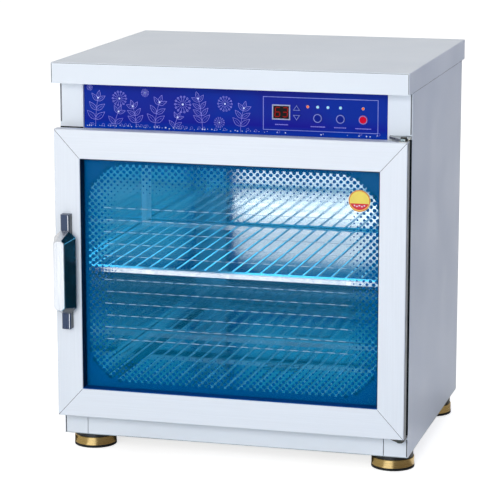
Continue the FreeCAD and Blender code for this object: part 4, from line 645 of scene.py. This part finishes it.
def specks(lines, spots):
    """Random spots and rings along the panel's lower edge, with fewer of them below the keys."""
    x = SPECKS_LEFT
    while x < SPECKS_RIGHT:
        wave = (math.sin(x * SPECK_WAVE) + 1) / 2
        radius = SPECK_RADIUS + SPECK_RADIUS_SPREAD * wave * random.random()
        if x < SPECKS_DENSE_TO or random.random() < SPECK_CHANCE:
            spots.disc(x, SPECK_Z + SPECK_Z_SPREAD * random.random(), radius, sides=8)
            if random.random() < SPECK_CHANCE:
                ring_z = RING_Z + RING_Z_SPREAD * random.random()
                lines.ring(x + RING_BESIDE, ring_z, RING_INNER, RING_OUTER, sides=16)
        x += SPECK_STEP + SPECK_STEP_SPREAD * random.random()


def caption_bars():
    """Rows of short bars of random length, in place of the captions under the display and the keys."""
    caption = Print(PANEL_Y)
    for x, z, width in CAPTIONS:
        cursor = x - width / 2
        while cursor < x + width / 2:
            step = CAPTION_STEP + CAPTION_STEP_SPREAD * random.random()
            caption.line([(cursor, z), (cursor + step * CAPTION_INKED, z)], CAPTION_HEIGHT)
            cursor += step
    caption.make("panel_caption_bars", lilac, "cabinet")


def panel_print():
    """The whole print; the specks are drawn before the captions, because both take random numbers in turn."""
    lines = Print(PANEL_Y)
    spots = Print(PANEL_Y - LAYER)
    for place in SPRIGS:
        sprig(lines, spots, *place)
    for place in SEED_HEADS:
        seed_head(lines, spots, *place)
    specks(lines, spots)
    caption_bars()
    outline = Print(PANEL_Y)
    (left, right), (low, high) = OUTLINE_X, OUTLINE_Z
    outline.line([(left, low), (right, low), (right, high), (left, high)], OUTLINE_WIDTH, closed=True)
    outline.make("panel_outline", outline_ink, "cabinet")
    lines.make("panel_sprays", lilac, "cabinet")
    spots.make("panel_spots", pale_ink, "cabinet")


panel_print()

# ---- marks on the keys

MARK_STANDS = 0.05  # in front of a key's cap
ARROW_WIDTH = 0.62
ARROW_IN, ARROW_FOOT_IN, ARROW_TIP_IN = 2.1, 1.3, 2.3  # in from the key's sides, foot and tip
MARK_RING_OUTER = 5.85


def arrow_mark(key, tip):
    """The outline of a triangle that points up where tip is 1 and down where it is -1."""
    low, high = box_mm(key)
    base, apex = (low[2], high[2]) if tip > 0 else (high[2], low[2])
    foot = base + ARROW_FOOT_IN * tip
    mark = Print(low[1] - MARK_STANDS)
    corners = [(low[0] + ARROW_IN, foot), (high[0] - ARROW_IN, foot),
               (middle_mm(key)[0], apex - ARROW_TIP_IN * tip)]
    mark.line(corners, ARROW_WIDTH, closed=True)
    mark.make(key + "_mark", outline_ink, key)


def ring_mark(key, inner):
    """A ring on a round key."""
    x, _, z = middle_mm(key)
    mark = Print(box_mm(key)[0][1] - MARK_STANDS)
    mark.ring(x, z, inner, MARK_RING_OUTER)
    mark.make(key + "_mark", outline_ink, key)


arrow_mark("up_key", 1)
arrow_mark("down_key", -1)
ring_mark("timer_button", 4.8)
ring_mark("mode_button", 4.8)
ring_mark("power_button", 4.95)

# ---- two seven-segment figures on the display

FIGURE_SIDE, FIGURE_RISE = 3.3, 6.3  # half a figure's width and height
FIGURES_STAND = 0.08  # in front of the display
SEGMENT_WIDTH, SEGMENT_GAP = 1.35, 0.25
FIGURE_SLANT = 0.08
TOP_LEFT, TOP_RIGHT = (-FIGURE_SIDE, FIGURE_RISE), (FIGURE_SIDE, FIGURE_RISE)
MID_LEFT, MID_RIGHT = (-FIGURE_SIDE, 0), (FIGURE_SIDE, 0)
LOW_LEFT, LOW_RIGHT = (-FIGURE_SIDE, -FIGURE_RISE), (FIGURE_SIDE, -FIGURE_RISE)
SEGMENTS = {
    "a": (TOP_LEFT, TOP_RIGHT), "b": (MID_RIGHT, TOP_RIGHT), "c": (LOW_RIGHT, MID_RIGHT),
    "d": (LOW_LEFT, LOW_RIGHT), "e": (LOW_LEFT, MID_LEFT), "f": (MID_LEFT, TOP_LEFT),
    "g": (MID_LEFT, MID_RIGHT),
}
SIX, THREE = "afedcg", "abcdg"  # the segments that are lit
FIGURES = ((SIX, -5.4), (THREE, 5.2))  # and how far each figure's middle lies beside the display's


def segment(figures, x, z, start, end):
    """A bar with pointed ends, in a figure whose middle is (x, z)."""
    along = (Vector(end) - Vector(start)).normalized()
    across = Vector((-along.y, along.x))
    a = Vector(start) + along * SEGMENT_GAP
    b = Vector(end) - along * SEGMENT_GAP
    half = SEGMENT_WIDTH / 2
    shape = [a, a + (along + across) * half, b + (across - along) * half,
             b, b - (across + along) * half, a + (along - across) * half]
    figures.fill([(x + p.x + FIGURE_SLANT * p.y, z + p.y) for p in shape])


def display_figures():
    x, _, z = middle_mm("display_module")
    figures = Print(box_mm("display_module")[0][1] - FIGURES_STAND)
    for lit, beside in FIGURES:
        for name in lit:
            segment(figures, x + beside, z, *SEGMENTS[name])
    figures.make("display_figures", digit, "cabinet")


display_figures()

# ---- lenses of the five small lamps

LENS_RADIUS, LENS_RISE = 1.8, 0.55
LENSES_STAND = 0.02  # in front of the lamps
LENS_RINGS, LENS_SIDES = 4, 20
LENSES = ((103.9, amber), (117.7, ice), (131.9, ice), (149.2, ice), (180.3, amber))


def lens(name, x, y, z, finish):
    """A shallow dome that bulges to the front."""
    verts, faces = [], []
    for ring in range(LENS_RINGS):
        climb = math.pi / 2 * ring / LENS_RINGS
        radius = LENS_RADIUS * math.cos(climb)
        for i in range(LENS_SIDES):
            rim_x, rim_z = polar(x, z, radius, 2 * math.pi * i / LENS_SIDES)
            verts.append((rim_x * MM, (y - LENS_RISE * math.sin(climb)) * MM, rim_z * MM))
    tip = len(verts)
    verts.append((x * MM, (y - LENS_RISE) * MM, z * MM))
    for ring in range(LENS_RINGS - 1):
        faces += tier_faces(ring * LENS_SIDES, LENS_SIDES)
    top = tip - LENS_SIDES
    faces += [(top + i, top + (i + 1) % LENS_SIDES, tip) for i in range(LENS_SIDES)]
    piece(name, verts, faces, finish, "cabinet", smooth=True)


def lenses():
    """One lens on the front of each small lamp."""
    y = box_mm("indicator_lights")[0][1] - LENSES_STAND
    z = middle_mm("indicator_lights")[2]
    for number, (x, finish) in enumerate(LENSES, start=1):
        lens("light_lens_%d" % number, x, y, z, finish)


lenses()

# ---- painted dark reflections and highlight on the handle

# the outline of the grip is a long octagon; it narrows from its base, at the back, to its top
BASE_HALF, BASE_POINT, BASE_END, BASE_TAPER = 16.0, 6.0, 59.0, 9.0
TOP_HALF, TOP_POINT, TOP_END, TOP_TAPER = 7.8, 3.5, 49.0, 4.0
SHEET_STANDS, MIDDLE_STANDS = 0.07, 0.18  # off the facet
BASE_EDGE_IN, BASE_EDGE_SHORT, BASE_EDGE_WIDTH = 1.9, 0.8, 1.0
FLANK_STANDS, FLANK_BACK, FLANK_SHORT = 0.04, 1.8, 0.6
GRIP_LOW, GRIP_HIGH = box_mm("handle_grip")


def facet_dark_reflection(name, base_a, base_b, top_a, top_b):
    """A thin dark sheet with a raised middle on one facet, whose corners are (x, z) off the grip's middle: a
    painted dark reflection on the chrome.
    """
    middle_x, _, middle_z = middle_mm("handle_grip")
    back, front = GRIP_HIGH[1], GRIP_LOW[1]
    corners = [Vector((middle_x + x, y, middle_z + z)) * MM
               for (x, z), y in ((base_a, back), (base_b, back), (top_b, front), (top_a, front))]
    normal = (corners[1] - corners[0]).cross(corners[3] - corners[0]).normalized()
    normal = normal if normal.x > 0 else -normal

    def inset(side, base, top, stands):
        """A quad on the facet, in from its sides, its base and its top by those shares."""
        points = []
        for u, v in ((side, base), (1 - side, base), (1 - side, 1 - top), (side, 1 - top)):
            low = corners[0].lerp(corners[1], u)
            high = corners[3].lerp(corners[2], u)
            points.append(low.lerp(high, v) + normal * stands * MM)
        return points

    verts = (inset(side=0.006, base=0.03, top=0.04, stands=SHEET_STANDS)
             + inset(side=0.03, base=0.07, top=0.09, stands=MIDDLE_STANDS))
    slopes = [(i, (i + 1) % 4, (i + 1) % 4 + 4, i + 4) for i in range(4)]
    piece(name, verts, slopes + [(4, 5, 6, 7)], dark_reflection_sheet, "door")


def handle_dark_reflections():
    """Painted dark reflections: sheets on the grip's right facet and on the slanted ones above and below it.
    """
    base, top = BASE_END - BASE_TAPER, TOP_END - TOP_TAPER
    facet_dark_reflection("handle_side_dark_reflection", (BASE_HALF, -base), (BASE_HALF, base), (TOP_HALF, -top), (TOP_HALF, top))
    for name, up in (("upper", 1), ("lower", -1)):
        facet_dark_reflection("handle_side_dark_reflection_" + name, (BASE_HALF, up * base), (BASE_POINT, up * BASE_END),
                    (TOP_HALF, up * top), (TOP_POINT, up * TOP_END))


def handle_base_painted_light():
    """A painted highlight along the edge of the bar that the grip stands on, and a painted dark reflection on
    its flank.
    """
    low, high = box_mm("handle_base")
    edge = Print(low[1] - LAYER)
    edge_x = high[0] - BASE_EDGE_IN
    edge.line([(edge_x, low[2] + BASE_EDGE_SHORT), (edge_x, high[2] - BASE_EDGE_SHORT)], BASE_EDGE_WIDTH)
    edge.make("handle_base_edge_highlight", chrome, "door")
    flank_x = high[0] + FLANK_STANDS
    flank = rectangle((flank_x, low[1] + FLANK_BACK, low[2] + FLANK_SHORT),
                      (flank_x, high[1], high[2] - FLANK_SHORT))
    verts = [Vector(corner) * MM for corner in flank]
    piece("handle_base_flank_dark_reflection", verts, [(0, 1, 2, 3)], dark_reflection_sheet, "door")


handle_dark_reflections()
handle_base_painted_light()

# ---- painted shade, shadows, reflections and highlights on the door and the case, and the feet's rubber lips

STILE_LOW, STILE_HIGH = box_mm("door_stile_right")
POST_LOW, POST_HIGH = box_mm("right_side_panel")
LID_LOW, LID_HIGH = box_mm("lid")
MITRE_STANDS, MITRE_WIDTH = 0.02, 0.62
MITRE_OUTER, MITRE_INNER = 0.85, 0.75  # how far a mitre's line ends from the frame's two edges
OPENING_STANDS = 0.05
# the line round the door opening is a painted shadow
SHADOW_INNER_X = 243.6  # x of the line's inner edge, beside the seal
LEFT_LINE_FOOT, RIGHT_LINE_FOOT, TOP_LINE_HEIGHT = 60.0, 58.4, 3.7
LINE_FROM_OUTER, LINE_FROM_INNER = 0.4, 0.3  # from the post's two edges
SHADOW_BELOW_LID, SHADOW_FROM_FRONT, SHADOW_WIDTH = 0.8, 1.0, 1.3
STILE_REFLECTION_SHORT = 0.7  # from the stile's ends
# painted reflections on the stiles' outer sides: name, how far it stands off the stile, y of its middle,
# width, finish
STILE_REFLECTIONS = (("stile_reflection_dark_", 0.04, -184.0, 14.4, painted_dark_reflection), ("stile_reflection_light_", 0.08, -183.8, 4.6, painted_light_reflection))
FLANGE_Y, FLANGE_WIDTH, FLANGE_STANDS = 191.0, 24.0, 0.1
FLANGE_ABOVE_STRIP, FLANGE_BELOW_CEILING = 1.3, 0.4
LID_END_IN, LID_END_ABOVE, LID_END_BELOW, LID_END_WIDTH = 1.4, 1.0, 1.6, 0.8
LID_TOP_IN, LID_TOP_BELOW, LID_TOP_WIDTH = 1.8, 1.1, 0.5
POST_STANDS = 0.04
# in from the post's edge and as wide, above the door and below it, and how far down and up they reach
UPPER_IN, UPPER_WIDTH, UPPER_FOOT, UPPER_BELOW_LID = 1.9, 1.8, 474.0, 0.6
LOWER_IN, LOWER_WIDTH, LOWER_TOP, LOWER_ABOVE_FOOT = 1.7, 1.7, 52.0, 0.2


def door_mitres():
    """A dark line down each mitre of the door's frame: painted shade in the mitre's gap."""
    face = Print(STILE_LOW[1] - MITRE_STANDS)
    outer_x, inner_x = STILE_HIGH[0] - MITRE_OUTER, STILE_LOW[0] + MITRE_INNER
    bottom_low, bottom_high = box_mm("door_rail_bottom")
    top_low, top_high = box_mm("door_rail_top")
    for sign in (-1, 1):
        for outer_z, inner_z in ((bottom_low[2] + MITRE_OUTER, bottom_high[2] - MITRE_INNER),
                                 (top_high[2] - MITRE_OUTER, top_low[2] + MITRE_INNER)):
            face.line([(sign * outer_x, outer_z), (sign * inner_x, inner_z)], MITRE_WIDTH)
    face.make("door_mitre_shade_lines", painted_edge_shade, "door")


def door_opening_shadow():
    """A black line round the door opening, on the case's front: painted shadow of the gap behind the door's
    edges.
    """
    opening = Print(POST_LOW[1] - OPENING_STANDS)
    outer, inner = POST_HIGH[0] - LINE_FROM_OUTER, POST_LOW[0] + LINE_FROM_INNER
    top = STILE_HIGH[2]
    opening.bar(-outer, -SHADOW_INNER_X, LEFT_LINE_FOOT, top)
    opening.bar(SHADOW_INNER_X, outer, RIGHT_LINE_FOOT, top)
    opening.bar(-SHADOW_INNER_X, -inner, top - TOP_LINE_HEIGHT, top)
    opening.make("door_opening_shadow_line", shadow_and_rubber_black, "cabinet")


def side_line(name, x, points, width, turn, finish, body):
    """A line on a vertical plane that faces the side, along points (y, z); it faces right where turn is 1."""
    strip = Print(0.0)
    strip.line(points, width)
    verts = [(x * MM, y, z) for y, _, z in strip.verts]
    faces = [face if turn > 0 else tuple(reversed(face)) for face in strip.faces]
    piece(name, verts, faces, finish, body)


def lid_shadows():
    """A dark line under the lid's apron on each side."""
    z = LID_LOW[2] - SHADOW_BELOW_LID
    points = [(POST_LOW[1] + SHADOW_FROM_FRONT, z), (POST_HIGH[1], z)]
    for side, sign in SIDES:
        x = sign * (POST_HIGH[0] + LAYER)
        side_line("lid_shadow_" + side, x, points, SHADOW_WIDTH, sign, shadow_and_rubber_black, "cabinet")


def stile_reflections():
    """A dark band with a lighter streak down the outer side of each stile: a painted reflection of dark
    surroundings on the bare metal.
    """
    low, high = STILE_LOW[2] + STILE_REFLECTION_SHORT, STILE_HIGH[2] - STILE_REFLECTION_SHORT
    for side, sign in SIDES:
        for name, stands, y, width, finish in STILE_REFLECTIONS:
            x = sign * (STILE_HIGH[0] + stands)
            side_line(name + side, x, [(y, low), (y, high)], width, sign, finish, "door")


def tank_flange_highlights():
    """The back sheet's side flanges, which lap the chamber's side walls above the upper shelf's strips; their
    pale finish is a painted highlight.
    """
    wall_x = box_mm("inner_right_wall")[0][0]
    low = box_mm("upper_shelf_rail_right")[1][2] + FLANGE_ABOVE_STRIP
    high = box_mm("inner_ceiling")[0][2] - FLANGE_BELOW_CEILING
    points = [(FLANGE_Y, low), (FLANGE_Y, high)]
    for side, sign in SIDES:
        x = sign * (wall_x - FLANGE_STANDS)
        side_line("tank_flange_highlight_" + side, x, points, FLANGE_WIDTH, -sign, flange_highlight, "cabinet")


FOOT_X, FRONT_FOOT_Y, REAR_FOOT_Y = 218.5, -117.0, 171.0
LIP_PROFILE = ((29.4, 0.2), (30.3, 0.5), (30.3, 3.9), (29.9, 4.1))  # radius and height
LIP_SIDES = 48


def foot_lips():
    """The rubber lip that shows under the brass band of each foot."""
    verts, faces = [], []
    for foot_x in (-FOOT_X, FOOT_X):
        for foot_y in (FRONT_FOOT_Y, REAR_FOOT_Y):
            start = len(verts)
            for radius, z in LIP_PROFILE:
                for i in range(LIP_SIDES):
                    x, y = polar(foot_x, foot_y, radius, 2 * math.pi * i / LIP_SIDES)
                    verts.append((x * MM, y * MM, z * MM))
            for tier in range(len(LIP_PROFILE) - 1):
                faces += tier_faces(start + tier * LIP_SIDES, LIP_SIDES)
    piece("foot_sole_lips", verts, faces, shadow_and_rubber_black, "cabinet", smooth=True)


def lid_edges():
    """Fine dark lines at the two ends of the lid's apron and along its upper edge: painted shade of its
    folded edges.
    """
    edges = Print(LID_LOW[1] - LAYER)
    for sign in (-1, 1):
        x = sign * (LID_HIGH[0] - LID_END_IN)
        edges.line([(x, LID_LOW[2] + LID_END_ABOVE), (x, LID_HIGH[2] - LID_END_BELOW)], LID_END_WIDTH)
    top_x, top_z = LID_HIGH[0] - LID_TOP_IN, LID_HIGH[2] - LID_TOP_BELOW
    edges.line([(-top_x, top_z), (top_x, top_z)], LID_TOP_WIDTH)
    edges.make("lid_edge_shade_lines", painted_edge_shade, "cabinet")


def post_edges():
    """Fine dark lines down the outer edge of each post, above the door and below it: painted shade of the
    posts' folded edges.
    """
    edges = Print(POST_LOW[1] - POST_STANDS)
    for sign in (-1, 1):
        upper_x, lower_x = sign * (POST_HIGH[0] - UPPER_IN), sign * (POST_HIGH[0] - LOWER_IN)
        edges.line([(upper_x, UPPER_FOOT), (upper_x, LID_LOW[2] - UPPER_BELOW_LID)], UPPER_WIDTH)
        edges.line([(lower_x, POST_LOW[2] + LOWER_ABOVE_FOOT), (lower_x, LOWER_TOP)], LOWER_WIDTH)
    edges.make("post_edge_shade_lines", painted_edge_shade, "cabinet")


door_mitres()
door_opening_shadow()
lid_shadows()
stile_reflections()
tank_flange_highlights()
foot_lips()
lid_edges()
post_edges()

# ---- floor and sky, in metres

FLOOR_HALF, FLOOR_Z = 40.0, -0.0005
FLOOR_GREY, FLOOR_SHINE = (0.80, 0.80, 0.80), 0.72
STAGE_ROUGHNESS = 0.9
SKY_LIGHT, SKY_SEEN = 0.42, 1.0


def seen_directly(tree):
    """1 for the camera's rays and those through glass or off a mirror, and 0 for light on other things."""
    path = tree.nodes.new("ShaderNodeLightPath")
    seen = path.outputs["Is Camera Ray"]
    for other in ("Is Glossy Ray", "Is Transmission Ray"):
        larger = tree.nodes.new("ShaderNodeMath")
        larger.operation = "MAXIMUM"
        tree.links.new(seen, larger.inputs[0])
        tree.links.new(path.outputs[other], larger.inputs[1])
        seen = larger.outputs[0]
    return seen


def stage_material(name, rgb, shine_rgb):
    """A matt material and the socket of how strongly it shines."""
    material = bpy.data.materials.new(name)
    material.use_nodes = True
    bsdf = material.node_tree.nodes["Principled BSDF"]
    put(bsdf, Base_Color=(*rgb, 1.0), Roughness=STAGE_ROUGHNESS, Emission_Color=(*shine_rgb, 1.0))
    return material, bsdf.inputs["Emission Strength"]


def stage_object(name, corners, material):
    """A flat object that is no part of the cabinet."""
    mesh = bpy.data.meshes.new(name)
    mesh.from_pydata(corners, [], [tuple(range(len(corners)))])
    mesh.materials.append(material)
    obj = linked(name, mesh)
    return obj


def stage_floor():
    """A pale floor that looks white and still takes soft shadows."""
    corners = rectangle((-FLOOR_HALF, -FLOOR_HALF, FLOOR_Z), (FLOOR_HALF, FLOOR_HALF, FLOOR_Z))
    material, shine = stage_material("floor_pale", FLOOR_GREY, WHITE)
    tree = material.node_tree
    strength = tree.nodes.new("ShaderNodeMath")
    strength.operation = "MULTIPLY"
    strength.inputs[1].default_value = FLOOR_SHINE
    tree.links.new(seen_directly(tree), strength.inputs[0])
    tree.links.new(strength.outputs[0], shine)
    stage_object("floor", corners, material)


def sky():
    """White where it is seen, and dimmer as a light."""
    world = bpy.data.worlds.new("studio")
    bpy.context.scene.world = world
    world.use_nodes = True
    tree = world.node_tree
    background = tree.nodes["Background"]
    put(background, Color=(*WHITE, 1.0))
    strength = tree.nodes.new("ShaderNodeMapRange")
    put(strength, To_Min=SKY_LIGHT, To_Max=SKY_SEEN)
    tree.links.new(seen_directly(tree), strength.inputs["Value"])
    tree.links.new(strength.outputs["Result"], background.inputs["Strength"])


stage_floor()
sky()

# ---- lamps and cards, in metres

def lamp(name, at, towards, width, depth, power, rgb):
    data = bpy.data.lights.new(name, "AREA")
    data.shape = "RECTANGLE"
    data.size = width
    data.size_y = depth
    data.energy = power
    data.color = rgb
    obj = linked(name, data)
    obj.location = at
    obj.rotation_euler = (Vector(towards) - Vector(at)).to_track_quat("-Z", "Y").to_euler()
    return obj


# the key lamp lights from low in front, and reflections don't show it
key = lamp("key", at=(-0.05, -2.8, 1.0), towards=(0.0, -0.1, 0.33), width=1.4, depth=1.2, power=44.0,
           rgb=WHITE)
key.visible_glossy = False
lamp("top", at=(0.2, 0.2, 3.2), towards=(0.0, 0.0, 0.3), width=2.4, depth=2.4, power=12.5, rgb=WHITE)
# the ultraviolet tube's blue light in the chamber
lamp("tank_glow", at=(0.0, -0.05, 0.415), towards=(0.0, 0.02, 0.10), width=0.36, depth=0.20, power=0.45,
     rgb=(0.10, 0.68, 1.0))


def card(name, corners, rgb, shine):
    """A studio card that the camera doesn't see."""
    material, strength = stage_material(name, rgb, rgb)
    strength.default_value = shine
    obj = stage_object(name, corners, material)
    obj.visible_camera = False
    return obj


def mirrored_card(name, corners, rgb, shine):
    """A card that only reflections show: it neither lights nor shades anything."""
    obj = card(name, corners, rgb, shine)
    obj.visible_diffuse = False
    obj.visible_shadow = False
    obj.visible_transmission = False


# two cards beside the case, which keep its right side dark
RIGHT_X, RIGHT_FRONT, RIGHT_BACK, RIGHT_MIDDLE, RIGHT_TOP = 1.3, -1.6, 1.2, 0.5, 1.7
card("card_right", rectangle((RIGHT_X, RIGHT_FRONT, RIGHT_MIDDLE), (RIGHT_X, RIGHT_BACK, RIGHT_TOP)),
     (0.27, 0.31, 0.47), shine=0.46)
card("card_right_low", rectangle((RIGHT_X, RIGHT_FRONT, 0.0), (RIGHT_X, RIGHT_BACK, RIGHT_MIDDLE)),
     (0.14, 0.16, 0.24), shine=0.12)

# a dark card nearer by, which reflections on that side show
mirrored_card("card_dark", rectangle((0.62, -1.5, 0.0), (0.62, 0.7, 0.9)), (0.02, 0.022, 0.026), shine=0.0)

# blue surroundings, which the bright steel of the chamber shows
BLUE = (0.010, 0.21, 0.33)
mirrored_card("card_blue_near", rectangle((-0.50, -0.78, 0.002), (0.6, -0.26, 0.002)), BLUE, shine=1.0)
slanted = [(-0.02, -0.78, 0.003), (-0.22, -2.9, 0.003), (1.6, -2.9, 0.003), (1.6, -0.78, 0.003)]
mirrored_card("card_blue_right", slanted, BLUE, shine=1.0)
mirrored_card("card_blue_front", rectangle((-2.4, -3.0, 0.3), (1.6, -3.0, 2.6)), BLUE, shine=1.0)

# the white that the front bar of the upper shelf shows
mirrored_card("card_bar", rectangle((-0.74, -1.42, 0.004), (0.02, -1.22, 0.004)), WHITE, shine=2.3)

# the dark under the cabinet, which the brass bands show
for row, front_y, back_y in (("front", -0.135, 0.11), ("rear", 0.152, 0.36)):
    mirrored_card("card_feet_" + row, rectangle((-0.6, front_y, 0.001), (0.24, back_y, 0.001)),
                  (0.03, 0.02, 0.01), shine=0.0)

GOLD, DULL_GOLD, LIGHT, BROWN = (0.40, 0.38, 0.31), (0.30, 0.28, 0.24), (0.9, 0.93, 1.0), (0.19, 0.17, 0.145)
FOOT_CARD_INNER, FOOT_CARD_OUTER, FOOT_CARD_Z = 0.031, 0.15, 0.0016
FOOT_CARD_STEPS = 6
# first and last bearing from the camera's own, colour, shine
BAND_PARTS = (
    ("gold", -95.0, -34.0, GOLD, 1.0), ("light", -34.0, -4.0, LIGHT, 1.5), ("brown", 1.0, 86.0, BROWN, 1.0))
CAMERA_BEARINGS = (19.0, 11.0)  # as the left and the right foot see it


def foot_card(name, x, y, first, last, rgb, shine):
    """A card on the floor round a foot, between two bearings in degrees to the right of the front."""
    rings = []
    for radius in (FOOT_CARD_INNER, FOOT_CARD_OUTER):
        ring = []
        for i in range(FOOT_CARD_STEPS + 1):
            bearing = math.radians(first + (last - first) * i / FOOT_CARD_STEPS)
            ring.append((x + radius * math.sin(bearing), y - radius * math.cos(bearing), FOOT_CARD_Z))
        rings.append(ring)
    mirrored_card(name, rings[0] + rings[1][::-1], rgb, shine)


# what the brass bands of the two front feet and of the rear right one show
for (side, sign), bearing in zip(SIDES, CAMERA_BEARINGS):
    for part, first, last, rgb, shine in BAND_PARTS:
        foot_card("card_foot_%s_%s" % (part, side), sign * FOOT_X * MM, FRONT_FOOT_Y * MM,
                  bearing + first, bearing + last, rgb, shine)
foot_card("card_foot_gold_rear", FOOT_X * MM, REAR_FOOT_Y * MM, 30.0, 150.0, DULL_GOLD, shine=1.0)

# ---- camera

CAMERA_AT = (0.8176, -3.1164, 0.9323)
CAMERA_DOWN, CAMERA_TURN = 0.2021, 0.2624  # in radians: below the level, and to the left
SENSOR_WIDTH, FOCAL_LENGTH, FAR_END = 36.0, 163.74, 100.0

camera_data = bpy.data.cameras.new("camera")
camera_data.sensor_width = SENSOR_WIDTH
camera_data.lens = FOCAL_LENGTH
camera_data.clip_end = FAR_END
camera = linked("camera", camera_data)
camera.location = CAMERA_AT
camera.rotation_euler = (math.pi / 2 - CAMERA_DOWN, 0.0, CAMERA_TURN)
bpy.context.scene.camera = camera
bpy.context.scene.view_settings.view_transform = "Standard"
